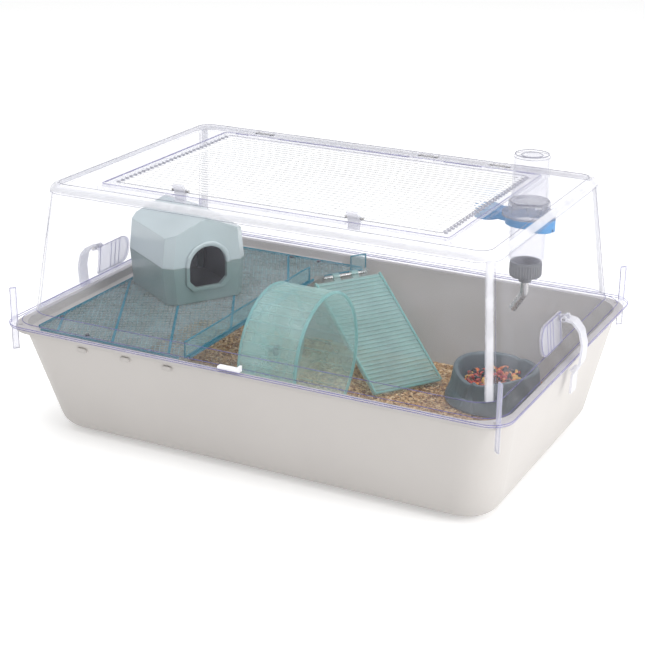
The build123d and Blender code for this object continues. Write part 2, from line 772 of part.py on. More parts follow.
def make_wheel_stand():
    base_z = BEDDING_TOP + 0.2
    with BuildPart() as stand:
        with BuildSketch(Plane.XY.offset(base_z)):
            with Locations((-20, WHEEL_Y)):
                RectangleRounded(84, 92, 14)
                RectangleRounded(44, 52, 8, mode=Mode.SUBTRACT)
        extrude(amount=3)
        with BuildSketch(Plane.YZ.offset(STAND_X[0])):
            with BuildLine():
                Polyline(
                    (WHEEL_Y - 38, base_z),
                    (WHEEL_Y - 12, WHEEL_Z),
                    (WHEEL_Y + 12, WHEEL_Z),
                    (WHEEL_Y + 38, base_z),
                    close=True,
                )
            make_face()
            with Locations((WHEEL_Y, WHEEL_Z)):
                Circle(12)
            with BuildLine():
                Polyline(
                    (WHEEL_Y - 24, base_z + 10),
                    (WHEEL_Y - 9, WHEEL_Z - 24),
                    (WHEEL_Y + 9, WHEEL_Z - 24),
                    (WHEEL_Y + 24, base_z + 10),
                    close=True,
                )
            make_face(mode=Mode.SUBTRACT)
            with Locations((WHEEL_Y, WHEEL_Z)):
                Circle(AXLE_R, mode=Mode.SUBTRACT)
        extrude(amount=STAND_X[1] - STAND_X[0])
    save(stand, "wheel_stand")


def house_plane(back_shift, up=0.0):
    """Upright plane square to the house's doorway wall: X across the front, Y up."""
    turn = radians(HOUSE_TURN)
    across = (cos(turn), sin(turn), 0)
    forward = (sin(turn), -cos(turn), 0)
    origin = (
        HOUSE_AT[0] - back_shift * forward[0],
        HOUSE_AT[1] - back_shift * forward[1],
        HOUSE_FLOOR + up,
    )
    return Plane(origin, x_dir=across, z_dir=forward)


def house_profile(by):
    """Corners of the gabled front wall, inset by a distance."""
    half_low = 45.5 - by
    half_seam = 49.0 - by
    half_eave = 45.5 - by
    eave = HOUSE_EAVE - by / 2
    return (
        (-half_low, by),
        (-half_seam, HOUSE_SEAM),
        (-half_eave, eave),
        (0, HOUSE_RIDGE - by),
        (half_eave, eave),
        (half_seam, HOUSE_SEAM),
        (half_low, by),
    )


def house_body(by):
    with BuildPart() as body:
        with BuildSketch(house_plane(HOUSE_DEEP / 2 - by)):
            with BuildLine():
                Polyline(*house_profile(by), close=True)
            make_face()
        extrude(amount=HOUSE_DEEP - 2 * by)
        upright = body.edges().filter_by(lambda edge: abs((edge % 0.5).Z) > 0.9)
        chamfer(upright, HOUSE_BEVEL - by / 2)
    return body.part


def door_outline(grow):
    """Arched doorway with a flatter foot, on the sketch plane's own axes."""
    half = DOOR_W / 2 + grow
    arch = DOOR_TOP - DOOR_W / 2
    foot = DOOR_SILL - grow
    with BuildSketch(Plane.XY) as outline:
        with BuildLine():
            CenterArc((0, arch), half, 0, 180)
            Polyline(
                (-half, arch),
                (-half, foot + 8),
                (-half + 8, foot),
                (half - 8, foot),
                (half, foot + 8),
                (half, arch),
            )
        make_face()
    return outline.sketch


def make_house():
    outer = house_body(0)
    inner = house_body(HOUSE_WALL)
    seam_z = HOUSE_FLOOR + HOUSE_SEAM
    with BuildPart() as whole:
        add(outer)
        with BuildSketch(house_plane(-HOUSE_DEEP / 2)):
            add(door_outline(4))
        extrude(amount=2.4)
        add(inner, mode=Mode.SUBTRACT)
        with BuildSketch(house_plane(-HOUSE_DEEP / 2 + 8)):
            add(door_outline(0))
        extrude(amount=20, mode=Mode.SUBTRACT)
    with BuildPart() as base:
        add(whole.part)
        with BuildSketch(Plane.XY.offset(seam_z - 0.1)):
            Rectangle(3 * LENGTH, 3 * DEPTH)
        extrude(amount=HEIGHT, mode=Mode.SUBTRACT)
    save(base, "house_base")
    with BuildPart() as roof:
        add(whole.part)
        with BuildSketch(Plane.XY.offset(seam_z + 0.1)):
            Rectangle(3 * LENGTH, 3 * DEPTH)
        extrude(amount=-HEIGHT, mode=Mode.SUBTRACT)
    save(roof, "house_roof")


def make_bowl():
    z = BEDDING_TOP + 0.2
    plane = Plane((*BOWL_AT, z), x_dir=(1, 0, 0), z_dir=(0, -1, 0))
    with BuildPart() as bowl:
        with BuildSketch(plane):
            with BuildLine():
                Polyline(
                    (0, 0),
                    (BOWL_BASE_R, 0),
                    (BOWL_BASE_R, 3),
                    (BOWL_BASE_R - 5, 16),
                    (BOWL_RIM_R, BOWL_H),
                    (BOWL_MOUTH_R, BOWL_H),
                    (BOWL_MOUTH_R - 5, 10),
                    (0, 7),
                    close=True,
                )
            make_face()
        revolve(axis=Axis((*BOWL_AT, 0), (0, 0, 1)))
    save(bowl, "food_bowl")
    with BuildPart() as food:
        with BuildSketch(plane):
            with BuildLine():
                Polyline(
                    (0, 7.2),
                    (BOWL_MOUTH_R - 5.4, 10.2),
                    (BOWL_MOUTH_R - 2.6, 27),
                    (0, 31),
                    close=True,
                )
            make_face()
        revolve(axis=Axis((*BOWL_AT, 0), (0, 0, 1)))
    save(food, "food")


def ring(name, plane_z, outer, inner, height):
    with BuildPart() as body:
        with BuildSketch(Plane.XY.offset(plane_z)):
            with Locations(BOTTLE_AT):
                Circle(outer)
                Circle(inner, mode=Mode.SUBTRACT)
        extrude(amount=height)
    save(body, name)


def make_bottle_holder():
    """Grey sleeve through the roof with a wide disc below it, and the blue clamp under the disc."""
    bore = BOTTLE_R + 0.6
    with BuildPart() as sleeve:
        with BuildSketch(Plane.XY.offset(COLLAR_Z[1] + 0.2)):
            with Locations(BOTTLE_AT):
                Circle(26.5)
        extrude(amount=3)
        with BuildSketch(Plane.XY.offset(COLLAR_Z[1] + 0.2)):
            with Locations(BOTTLE_AT):
                Circle(SLEEVE_R - 0.05)
        extrude(amount=HEIGHT + 0.3 - COLLAR_Z[1])
        with BuildSketch(Plane.XY.offset(COLLAR_Z[0])):
            with Locations(BOTTLE_AT):
                Circle(bore)
        extrude(amount=60, mode=Mode.SUBTRACT)
    save(sleeve, "bottle_sleeve")
    left, right = COLLAR_LOBES
    turn = atan2(right[1] - left[1], right[0] - left[0])
    with BuildPart() as collar:
        with BuildSketch(Plane.XY.offset(COLLAR_Z[0])):
            with Locations(BOTTLE_AT):
                Circle(COLLAR_R)
            with Locations(Location(((left[0] + right[0]) / 2, (left[1] + right[1]) / 2, 0), (0, 0, degrees(turn)))):
                Rectangle(right[0] - left[0], 20)
        extrude(amount=COLLAR_Z[1] - COLLAR_Z[0])
        with BuildSketch(Plane.XY.offset(COLLAR_LOBE_LOW)):
            for x, y, radius in COLLAR_LOBES:
                with Locations((x, y)):
                    Circle(radius)
        extrude(amount=COLLAR_Z[1] - COLLAR_LOBE_LOW)
        with BuildSketch(Plane.XY.offset(COLLAR_LOBE_LOW - 1)):
            with Locations(Location((left[0], left[1], 0), (0, 0, degrees(turn)))):
                Rectangle(2 * left[2] + 4, 2.4)
            with Locations(Location((right[0], right[1], 0), (0, 0, degrees(turn)))):
                Rectangle(2 * right[2] + 4, 2.4)
        extrude(amount=COLLAR_Z[0] - COLLAR_LOBE_LOW + 1, mode=Mode.SUBTRACT)
        with BuildSketch(Plane.XY.offset(COLLAR_LOBE_LOW - 1)):
            with Locations(BOTTLE_AT):
                Circle(bore)
        extrude(amount=60, mode=Mode.SUBTRACT)
    save(collar, "bottle_collar")


def make_bottle():
    plane = Plane((*BOTTLE_AT, 0), x_dir=(1, 0, 0), z_dir=(0, -1, 0))
    bead = HEIGHT + 0.7
    inner = BOTTLE_R - BOTTLE_WALL
    with BuildPart() as bottle:
        with BuildSketch(plane):
            with BuildLine():
                Polyline(
                    (NECK_R - 2, NECK_BOTTOM),
                    (NECK_R, NECK_BOTTOM),
                    (NECK_R, BOTTLE_SHOULDER + 0.5),
                    (BOTTLE_R - 2, BOTTLE_SHOULDER + 0.5),
                    (BOTTLE_R, BOTTLE_SHOULDER + 3),
                    (BOTTLE_R, bead),
                    (BOTTLE_R + 1.6, bead),
                    (BOTTLE_R + 1.6, bead + 1.6),
                    (BOTTLE_R, bead + 2.4),
                    (BOTTLE_R, BOTTLE_TOP - 3),
                    (BOTTLE_R - 3, BOTTLE_TOP),
                    (BOTTLE_R - 6, BOTTLE_TOP),
                    (BOTTLE_R - 8, BOTTLE_TOP - 2),
                    (0, BOTTLE_TOP - 2),
                    (0, BOTTLE_TOP - 2 - BOTTLE_WALL),
                    (inner - 3, BOTTLE_TOP - 2 - BOTTLE_WALL),
                    (inner, BOTTLE_TOP - 5),
                    (inner, BOTTLE_SHOULDER + 4),
                    (NECK_R - 2, BOTTLE_SHOULDER + 2),
                    close=True,
                )
            make_face()
        revolve(axis=Axis((*BOTTLE_AT, 0), (0, 0, 1)))
    save(bottle, "bottle_body")
    with BuildPart() as cap:
        with BuildSketch(Plane.XY.offset(CAP_BOTTOM)):
            with Locations(BOTTLE_AT):
                Circle(CAP_R)
        extrude(amount=BOTTLE_SHOULDER - CAP_BOTTOM)
        fillet(cap.edges().group_by(Axis.Z)[0], 1.5)
        with BuildSketch(Plane.XY.offset(CAP_BOTTOM + 3)):
            with Locations(BOTTLE_AT):
                Circle(NECK_R + 0.1)
        extrude(amount=40, mode=Mode.SUBTRACT)
        with BuildSketch(Plane.XY.offset(CAP_BOTTOM - 6)):
            with Locations(BOTTLE_AT):
                Circle(6.5)
        extrude(amount=6)
        with BuildSketch(Plane.XY.offset(CAP_BOTTOM - 7)):
            with Locations(BOTTLE_AT):
                Circle(SPOUT_R)
        extrude(amount=20, mode=Mode.SUBTRACT)
    save(cap, "bottle_cap")
    ring("cap_seal", CAP_BOTTOM + 3, NECK_R, SPOUT_R, 2.4)


def spout_points():
    """Where the spout starts, bends and ends, and the unit vector down its lower run."""
    start = Vector(*BOTTLE_AT, CAP_BOTTOM + 6)
    bend = Vector(*BOTTLE_AT, 176)
    tip = Vector(BOTTLE_AT[0] - 11.5, BOTTLE_AT[1], 158)
    return start, bend, tip, (tip - bend).normalized()


def make_spout():
    start, bend, tip, way = spout_points()
    neck_end = tip - way * 1.2
    with BuildPart() as tube:
        with BuildLine() as route:
            FilletPolyline(start, bend, tip, radius=12)
        with BuildSketch(Plane(start, z_dir=(0, 0, -1))):
            Circle(SPOUT_R)
        sweep(path=route.wires()[0])
    with BuildPart() as bore:
        with BuildLine() as inner_route:
            FilletPolyline(start, bend, neck_end, radius=12)
        with BuildSketch(Plane(start, z_dir=(0, 0, -1))):
            Circle(SPOUT_BORE)
        sweep(path=inner_route.wires()[0])
    with BuildPart() as spout:
        add(tube.part)
        add(bore.part, mode=Mode.SUBTRACT)
        with BuildSketch(Plane(neck_end, z_dir=tuple(way))):
            Circle(2.6)
        extrude(amount=4, both=True, mode=Mode.SUBTRACT)
    save(spout, "spout_tube")
    with BuildPart() as ball:
        with Locations(neck_end - way * 1.9):
            Sphere(BALL_R)
    save(ball, "spout_ball")


make_tub()
make_bedding()
make_dome_flange()
make_dome_walls()
make_dome_roof()
make_corner_legs()
make_front_catch()
make_lid_frame()
make_lid_grid()
make_hinge_pins()
make_latches()
make_side_clips()
make_shelf_plate()
make_shelf_rails()
make_shelf_pegs()
make_ramp()
make_wheel()
make_wheel_stand()
make_house()
make_bowl()
make_bottle_holder()
make_bottle()
make_spout()
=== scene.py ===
"""Hamster cage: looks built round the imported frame. Metres, in the CAD frame.

Most shapes are worked out in millimetres, as in the CAD, and turned into metres by mm() or * MM.
"""
import math

import bpy
import numpy as np
from mathutils import Matrix, Vector, noise


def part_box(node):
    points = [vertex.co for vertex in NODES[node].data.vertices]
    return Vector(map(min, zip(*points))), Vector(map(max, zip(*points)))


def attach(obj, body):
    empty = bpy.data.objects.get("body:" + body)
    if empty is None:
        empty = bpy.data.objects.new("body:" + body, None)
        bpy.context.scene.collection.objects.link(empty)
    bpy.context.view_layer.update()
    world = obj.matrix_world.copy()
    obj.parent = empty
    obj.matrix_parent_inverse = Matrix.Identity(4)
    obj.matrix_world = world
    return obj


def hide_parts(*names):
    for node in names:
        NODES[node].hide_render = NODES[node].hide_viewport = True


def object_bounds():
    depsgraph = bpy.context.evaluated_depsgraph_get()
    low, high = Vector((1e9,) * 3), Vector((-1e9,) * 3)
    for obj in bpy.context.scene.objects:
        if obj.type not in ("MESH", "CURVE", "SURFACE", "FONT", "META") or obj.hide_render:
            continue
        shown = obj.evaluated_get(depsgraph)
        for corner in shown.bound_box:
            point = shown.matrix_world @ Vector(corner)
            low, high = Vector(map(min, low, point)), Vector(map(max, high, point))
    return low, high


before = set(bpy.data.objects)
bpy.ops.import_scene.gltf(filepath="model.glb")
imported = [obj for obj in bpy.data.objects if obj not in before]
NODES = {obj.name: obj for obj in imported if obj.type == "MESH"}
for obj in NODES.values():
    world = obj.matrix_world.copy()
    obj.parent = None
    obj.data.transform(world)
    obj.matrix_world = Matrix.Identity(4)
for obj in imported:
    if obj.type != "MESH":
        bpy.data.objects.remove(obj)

MM = 0.001
UP = Vector((0, 0, 1))
BOTH = (-1, 1)
RING = [(math.cos(t * math.pi / 24), math.sin(t * math.pi / 24)) for t in range(48)]
cad_low, cad_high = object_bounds()
rng = np.random.default_rng(11)


# ---------------------------------------------------------------- materials
MIX_A, MIX_B, MIX_RESULT = 6, 7, 2      # the colour sockets of a Mix node
GRAIN_DEPTH = 0.0006
RIPPLE_DEPTH = 0.002
COAT_ROUGHNESS = 0.15
LIT_THROUGH = 0.42                      # share of a clear body that light comes through
ROOF_HIGHLIGHT_FROM = (0.250, 0.256)         # heights where the painted highlight on the roof edge comes in
CORNER_HIGHLIGHT_FROM = (0.1365, 0.1372)     # heights where the painted highlight on the corners comes in


def tree(name):
    """A new material with an empty node tree and its output."""
    material = bpy.data.materials.new(name)
    material.use_nodes = True
    nodes = material.node_tree
    nodes.nodes.clear()
    out = nodes.nodes.new("ShaderNodeOutputMaterial")
    return material, nodes, out


def put(nt, kind, values=None, **settings):
    node = nt.nodes.new("ShaderNode" + kind)
    for key, value in settings.items():
        setattr(node, key, value)
    for key, value in (values or {}).items():
        if isinstance(value, bpy.types.NodeSocket):
            nt.links.new(value, node.inputs[key])
        else:
            node.inputs[key].default_value = value
    return node


def calc(nt, op, a, b=0.0):
    return put(nt, "Math", {0: a, 1: b}, operation=op).outputs[0]


def ramp01(nt, value, low, high, to_low=0.0, to_high=1.0):
    spec = {"Value": value, "From Min": low, "From Max": high, "To Min": to_low, "To Max": to_high}
    return put(nt, "MapRange", spec, interpolation_type="SMOOTHSTEP").outputs["Result"]


def blotch(nt, where, scale, detail, rough=0.5):
    spec = {"Vector": where, "Scale": scale, "Detail": detail, "Roughness": rough}
    return put(nt, "TexNoise", spec).outputs["Fac"]


def two_tone(nt, fac, a, b):
    """Colour a where fac is 0 and b where it is 1. Each is a socket or three numbers."""
    node = put(nt, "Mix", {"Factor": fac}, data_type="RGBA")
    for color, key in ((a, MIX_A), (b, MIX_B)):
        if isinstance(color, bpy.types.NodeSocket):
            nt.links.new(color, node.inputs[key])
        else:
            node.inputs[key].default_value = (*color, 1)
    return node.outputs[MIX_RESULT]


def plastic(name, color, spread, rough, grain=1400.0, bump=0.06, cloud=22.0, edge_round=0.0, sheen=0.0,
            glow=0.0, shine_level=0.5):
    """Moulded plastic: cloudy colour, fine moulding grain in roughness and bump, softened edges."""
    material, nt, out = tree(name)
    where = put(nt, "TexCoord").outputs["Object"]
    cloudy = blotch(nt, where, cloud, 4.0)
    dark = tuple(c * (1 - spread) for c in color)
    light = tuple(min(1.0, c * (1 + spread)) for c in color)
    base = two_tone(nt, ramp01(nt, cloudy, 0.3, 0.7), dark, light)
    fine = blotch(nt, where, grain, 2.0)
    scuff = blotch(nt, where, cloud * 6, 5.0, 0.7)
    even = ramp01(nt, fine, 0.2, 0.8, rough - 0.05, rough + 0.05)
    shine = calc(nt, "ADD", even, ramp01(nt, scuff, 0.6, 0.8, 0, 0.08))
    height = calc(nt, "ADD", fine, calc(nt, "MULTIPLY", cloudy, 0.6))
    spec = {"Height": height, "Strength": bump, "Distance": GRAIN_DEPTH}
    if edge_round:
        spec["Normal"] = put(nt, "Bevel", {"Radius": edge_round}, samples=4).outputs[0]
    normal = put(nt, "Bump", spec).outputs[0]
    shader = put(nt, "BsdfPrincipled", {"Base Color": base, "Roughness": shine, "Normal": normal})
    shader.inputs["Specular IOR Level"].default_value = shine_level
    if sheen:
        shader.inputs["Coat Weight"].default_value = sheen
        shader.inputs["Coat Roughness"].default_value = COAT_ROUGHNESS
    if glow:
        shader.inputs["Emission Color"].default_value = (1, 1, 1, 1)
        shader.inputs["Emission Strength"].default_value = glow
    nt.links.new(shader.outputs[0], out.inputs[0])
    return material


def clear(name, body, tint, alpha, edge, rough=0.08, haze=0.03, mask=None, cloud=30.0):
    """Clear or tinted plastic of thin walls: a see-through film, denser at a slant."""
    material, nt, out = tree(name)
    coords = put(nt, "TexCoord")
    where = coords.outputs["Object"]
    cloudy = blotch(nt, where, cloud, 4.0)
    slant = put(nt, "LayerWeight", {"Blend": 0.35}).outputs["Facing"]
    dense = calc(nt, "MULTIPLY", calc(nt, "POWER", slant, 3.0), edge)
    fac = calc(nt, "ADD", dense, ramp01(nt, cloudy, 0.3, 0.8, alpha - haze, alpha + haze))
    color = two_tone(nt, ramp01(nt, cloudy, 0.3, 0.7), tuple(c * 0.96 for c in body), body)
    if mask:
        fac, color = mask(nt, coords, fac, color)
    fac = put(nt, "Math", {0: fac, 1: 0.0}, operation="ADD", use_clamp=True).outputs[0]
    shine = ramp01(nt, blotch(nt, where, cloud * 8, 4.0, 0.7), 0.5, 0.85, rough, rough + 0.1)
    ripple = {"Height": cloudy, "Strength": 0.03, "Distance": RIPPLE_DEPTH}
    normal = put(nt, "Bump", ripple).outputs[0]
    shader = put(nt, "BsdfPrincipled", {"Base Color": color, "Roughness": shine, "Normal": normal})
    through = put(nt, "BsdfTranslucent", {"Color": color})
    body_mix = put(nt, "MixShader", {0: LIT_THROUGH, 1: shader.outputs[0], 2: through.outputs[0]})
    film = put(nt, "BsdfTransparent", {"Color": (*tint, 1)})
    mix = put(nt, "MixShader", {0: fac, 1: film.outputs[0], 2: body_mix.outputs[0]})
    nt.links.new(mix.outputs[0], out.inputs[0])
    return material


def dome_painted_highlight(nt, coords, fac, color):
    """Painted highlight: a white reflection painted on the rounded roof edge and on the upright corners, made
    uneven by noise.
    """
    normal = put(nt, "SeparateXYZ", {0: coords.outputs["Normal"]})
    place = put(nt, "SeparateXYZ", {0: coords.outputs["Object"]})
    nz = calc(nt, "ABSOLUTE", normal.outputs[2])
    crease = calc(nt, "MULTIPLY", ramp01(nt, nz, 0.20, 0.36), ramp01(nt, nz, 0.90, 0.985, 1.0, 0.0))
    crease = calc(nt, "MULTIPLY", crease, ramp01(nt, place.outputs[2], *ROOF_HIGHLIGHT_FROM))
    turn = calc(nt, "ABSOLUTE", calc(nt, "MULTIPLY", normal.outputs[0], normal.outputs[1]))
    corner = ramp01(nt, place.outputs[2], *CORNER_HIGHLIGHT_FROM)
    corner = calc(nt, "MULTIPLY", ramp01(nt, turn, 0.445, 0.482), corner)
    uneven = ramp01(nt, blotch(nt, coords.outputs["Object"], 26.0, 4.0), 0.3, 0.7, 0.72, 1.0)
    # painted highlight: white glare laid over the film on the roof crease and on the upright corners
    painted_glare = calc(nt, "MAXIMUM", calc(nt, "MULTIPLY", crease, 0.70), calc(nt, "MULTIPLY", corner, 0.66))
    painted_glare = calc(nt, "MULTIPLY", painted_glare, uneven)
    return calc(nt, "ADD", fac, painted_glare), two_tone(nt, painted_glare, color, (0.97, 0.97, 0.98))


# plastic() takes a name, colour, spread of tone, roughness, grain and bump, then the scale of its clouds;
# clear() takes a name, body colour, film tint, opacity face on and the opacity added at a slant
M = {
    "tub": plastic("tub_plastic", (0.46, 0.438, 0.42), 0.02, 0.46, 1500, 0.02, 9, edge_round=0.0015),
    # the dome's film carries a painted highlight on its roof edge and upright corners
    "dome": clear("clear_dome", (0.66, 0.66, 0.74), (0.988, 0.988, 0.994), 0.055, 0.26, haze=0.02,
                  mask=dome_painted_highlight),
    "lid": clear("clear_lid", (0.84, 0.84, 0.88), (0.985, 0.985, 0.99), 0.18, 0.45),
    "flange": clear("clear_flange", (0.80, 0.80, 0.87), (0.99, 0.99, 0.994), 0.08, 0.28),
    "clip": clear("clip_plastic", (0.86, 0.86, 0.90), (0.95, 0.95, 0.97), 0.62, 0.5, haze=0.08),
    "plate": clear("plate_plastic", (0.80, 0.80, 0.86), (0.96, 0.96, 0.98), 0.34, 0.5),
    "edge": clear("lavender_edge", (0.27, 0.25, 0.50), (0.85, 0.85, 0.95), 0.62, 0.3, haze=0.25, cloud=60),
    "seam": clear("grey_edge", (0.36, 0.36, 0.42), (0.9, 0.9, 0.93), 0.60, 0.3, haze=0.25, cloud=60),
    "white": plastic("white_plastic", (0.86, 0.86, 0.87), 0.02, 0.35, 1600, 0.04, edge_round=0.0005),
    "wire": plastic("white_wire", (0.86, 0.86, 0.87), 0.03, 0.32, 2500, 0.08, 40),
    "bead": clear("wire_seat", (0.45, 0.45, 0.52), (0.9, 0.9, 0.93), 0.7, 0.2),
    "shelf": clear("teal_shelf", (0.74, 0.80, 0.82), (0.95, 0.975, 0.975), 0.15, 0.20, haze=0.06),
    "lattice": clear("teal_lattice", (0.38, 0.56, 0.60), (0.90, 0.95, 0.95), 0.52, 0.2, haze=0.25, cloud=60),
    "teal": clear("teal_rib", (0.02, 0.30, 0.42), (0.5, 0.8, 0.85), 0.80, 0.2, haze=0.16, cloud=45),
    "rail": clear("teal_rail", (0.40, 0.66, 0.70), (0.90, 0.96, 0.97), 0.14, 0.3),
    "aqua": clear("aqua_wheel", (0.60, 0.84, 0.81), (0.93, 0.975, 0.97), 0.30, 0.30, haze=0.05, rough=0.12),
    "ramp": clear("aqua_ramp", (0.56, 0.80, 0.78), (0.91, 0.965, 0.96), 0.42, 0.30, haze=0.05, rough=0.16),
    "aqua_line": clear("aqua_line", (0.36, 0.70, 0.70), (0.85, 0.95, 0.94), 0.55, 0.2, haze=0.08),
    "aqua_rib": clear("aqua_rib", (0.55, 0.80, 0.79), (0.9, 0.96, 0.96), 0.42, 0.2, haze=0.08),
    "house_top": plastic("house_light", (0.50, 0.585, 0.60), 0.03, 0.24, 1300, 0.03, 14, edge_round=0.0016,
                         sheen=0.3),
    "house_low": plastic("house_dark", (0.21, 0.295, 0.285), 0.04, 0.26, 1300, 0.03, 14, edge_round=0.0016,
                         sheen=0.3),
    # painted shade: a near-black, barely reflective material standing in for the shade inside the house
    "inside_shade": plastic("painted_shade_inside", (0.010, 0.018, 0.009), 0.2, 0.8, 900, 0.05, 30, shine_level=0.05),
    "bowl": plastic("slate_bowl", (0.10, 0.135, 0.15), 0.10, 0.42, 1200, 0.08, 26, edge_round=0.0008),
    "cap": plastic("dark_cap", (0.10, 0.105, 0.11), 0.06, 0.38, 1500, 0.06, edge_round=0.0006),
    "sleeve": clear("sleeve_grey", (0.62, 0.63, 0.66), (0.94, 0.94, 0.95), 0.34, 0.3),
    "blue": plastic("blue_plastic", (0.0, 0.20, 0.47), 0.12, 0.30, 1500, 0.05, edge_round=0.0006),
    "bottle": clear("clear_bottle", (0.62, 0.62, 0.66), (0.97, 0.97, 0.98), 0.07, 0.55, rough=0.05),
    "seal": plastic("black_seal", (0.02, 0.02, 0.02), 0.1, 0.6),
    "peg": plastic("dark_peg", (0.05, 0.05, 0.07), 0.15, 0.4),
}


def steel():
    """Brushed steel: fine lines that run up and down."""
    material, nt, out = tree("brushed_steel")
    where = put(nt, "TexCoord").outputs["Object"]
    stretched = put(nt, "Mapping", {"Vector": where, "Scale": (900, 900, 60)}).outputs[0]
    lines = blotch(nt, stretched, 1.0, 3.0)
    base = two_tone(nt, lines, (0.36, 0.35, 0.34), (0.60, 0.59, 0.57))
    normal = put(nt, "Bump", {"Height": lines, "Strength": 0.08, "Distance": 0.0004}).outputs[0]
    shine = ramp01(nt, lines, 0.2, 0.8, 0.18, 0.36)
    spec = {"Base Color": base, "Roughness": shine, "Metallic": 1.0, "Normal": normal}
    shader = put(nt, "BsdfPrincipled", spec)
    nt.links.new(shader.outputs[0], out.inputs[0])
    return material


def grains(name, tones, size):
    """Loose material: every grain-sized cell has its own tone, with fibres along it."""
    material, nt, out = tree(name)
    where = put(nt, "TexCoord").outputs["Object"]
    cell = put(nt, "TexVoronoi", {"Vector": where, "Scale": 1 / size, "Randomness": 1.0})
    pick = put(nt, "SeparateColor", {0: cell.outputs["Color"]}).outputs[0]
    band = put(nt, "ValToRGB", {0: pick})
    stops = band.color_ramp.elements
    for i, tone in enumerate(tones):
        at = i / (len(tones) - 1)
        stop = stops[i] if i < 2 else stops.new(at)
        stop.position = at
        stop.color = (*tone, 1)
    stretched = put(nt, "Mapping", {"Vector": where, "Scale": (700, 700, 260)}).outputs[0]
    fibre = blotch(nt, stretched, 1.0, 4.0)
    base = two_tone(nt, ramp01(nt, fibre, 0.25, 0.75, 0.0, 0.45), band.outputs[0], (0.16, 0.09, 0.04))
    normal = put(nt, "Bump", {"Height": fibre, "Strength": 0.35, "Distance": 0.0006}).outputs[0]
    shine = ramp01(nt, fibre, 0.2, 0.8, 0.7, 0.95)
    shader = put(nt, "BsdfPrincipled", {"Base Color": base, "Roughness": shine, "Normal": normal})
    nt.links.new(shader.outputs[0], out.inputs[0])
    return material


M["steel"] = steel()
M["chips"] = grains("bedding_chips", [(0.24, 0.11, 0.035), (0.46, 0.26, 0.10), (0.64, 0.41, 0.19),
                                      (0.80, 0.60, 0.36)], 0.0034)
M["chip_bed"] = grains("bedding_bed", [(0.20, 0.11, 0.05), (0.36, 0.23, 0.12), (0.50, 0.36, 0.20),
                                       (0.62, 0.46, 0.28)], 0.0030)
FOODS = [
    plastic("food_red", (0.42, 0.045, 0.03), 0.25, 0.55, 800, 0.3, 160),
    plastic("food_orange", (0.62, 0.17, 0.035), 0.22, 0.6, 800, 0.3, 160),
    plastic("food_yellow", (0.72, 0.42, 0.10), 0.18, 0.6, 800, 0.3, 160),
    plastic("food_brown", (0.13, 0.055, 0.025), 0.3, 0.7, 700, 0.4, 160),
    plastic("food_black", (0.012, 0.009, 0.009), 0.3, 0.45, 700, 0.3, 160),
]


# ---------------------------------------------------------------- mesh helpers
def piece(name, verts, faces, material, body, slot, replaces=(), smooth=True, indices=None, sharp=35.0):
    """A visible piece that rides on a body, with one material or a list that indices pick from."""
    mesh = bpy.data.meshes.new(name)
    mesh.from_pydata([tuple(v) for v in verts], [], [tuple(f) for f in faces])
    mesh.validate()
    for m in material if isinstance(material, list) else [material]:
        mesh.materials.append(m)
    if indices is not None:
        mesh.polygons.foreach_set("material_index", indices)
    if smooth:
        mesh.shade_smooth()
        mesh.set_sharp_from_angle(angle=math.radians(sharp))
    obj = bpy.data.objects.new(name, mesh)
    bpy.context.scene.collection.objects.link(obj)
    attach(obj, body)
    if replaces:
        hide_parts(*replaces)
    return obj


class Parts:
    """Vertices and faces gathered from several simple shapes."""

    def __init__(self):
        self.v, self.f, self.m = [], [], []

    def add(self, verts, faces, index=0):
        start = len(self.v)
        self.v += [Vector(v) for v in verts]
        self.f += [tuple(start + i for i in face) for face in faces]
        self.m += [index] * len(faces)

    def tube(self, path, radius, closed=False, sides=8, index=0):
        """A round bar along points, with domed ends when it is open."""
        path = [Vector(p) for p in path]
        count = len(path)
        rings = []
        before = None
        for i, p in enumerate(path):
            if closed:
                way = path[(i + 1) % count] - path[i - 1]
            else:
                way = path[min(i + 1, count - 1)] - path[max(i - 1, 0)]
            way.normalize()
            if before is None:
                ref = UP if abs(way.z) < 0.9 else Vector((1, 0, 0))
                side = way.cross(ref).normalized()
            else:
                side = (before - way * before.dot(way)).normalized()
            before = side
            up = way.cross(side)
            rings.append((p, side, up, way))
        verts, faces = [], []
        if not closed:
            tips = []
            for (p, side, up, way), sign in ((rings[0], -1), (rings[-1], 1)):
                tips.append((p + way * sign * radius * 0.5, side * 0.6, up * 0.6, way))
            rings = [tips[0]] + rings + [tips[1]]
        for p, side, up, _ in rings:
            for k in range(sides):
                a = 2 * math.pi * k / sides
                verts.append(p + (side * math.cos(a) + up * math.sin(a)) * radius)
        total = len(rings)
        for i in range(total if closed else total - 1):
            j = (i + 1) % total
            for k in range(sides):
                n = (k + 1) % sides
                faces.append((i * sides + k, i * sides + n, j * sides + n, j * sides + k))
        if not closed:
            faces.append(tuple(reversed(range(sides))))
            faces.append(tuple((total - 1) * sides + k for k in range(sides)))
        self.add(verts, faces, index)

    def line(self, path, radius, index=0, closed=False):
        """A thin six-sided tube, for the lines of moulded edges."""
        self.tube(path, radius, closed, 6, index)

    def bar(self, a, b, width, low, high):
        """A flat bar on the ground plan from a to b, with a narrower crowned top."""
        a, b = Vector((*a, 0)), Vector((*b, 0))
        side = (b - a).normalized().cross(UP) * width / 2
        verts = []
        for z, share in ((low, 1.0), (low + (high - low) * 0.6, 1.0), (high, 0.55)):
            for p, s in ((a, 1), (a, -1), (b, -1), (b, 1)):
                verts.append(p + side * s * share + UP * z)
        faces = [(3, 2, 1, 0), (8, 9, 10, 11)]
        for level in (0, 4):
            for k in range(4):
                n = (k + 1) % 4
                faces.append((level + k, level + n, level + 4 + n, level + 4 + k))
        self.add(verts, faces)

    def make(self, name, material, body, **settings):
        return piece(name, self.v, self.f, material, body, indices=self.m, **settings)


CORNER_STEPS = 8


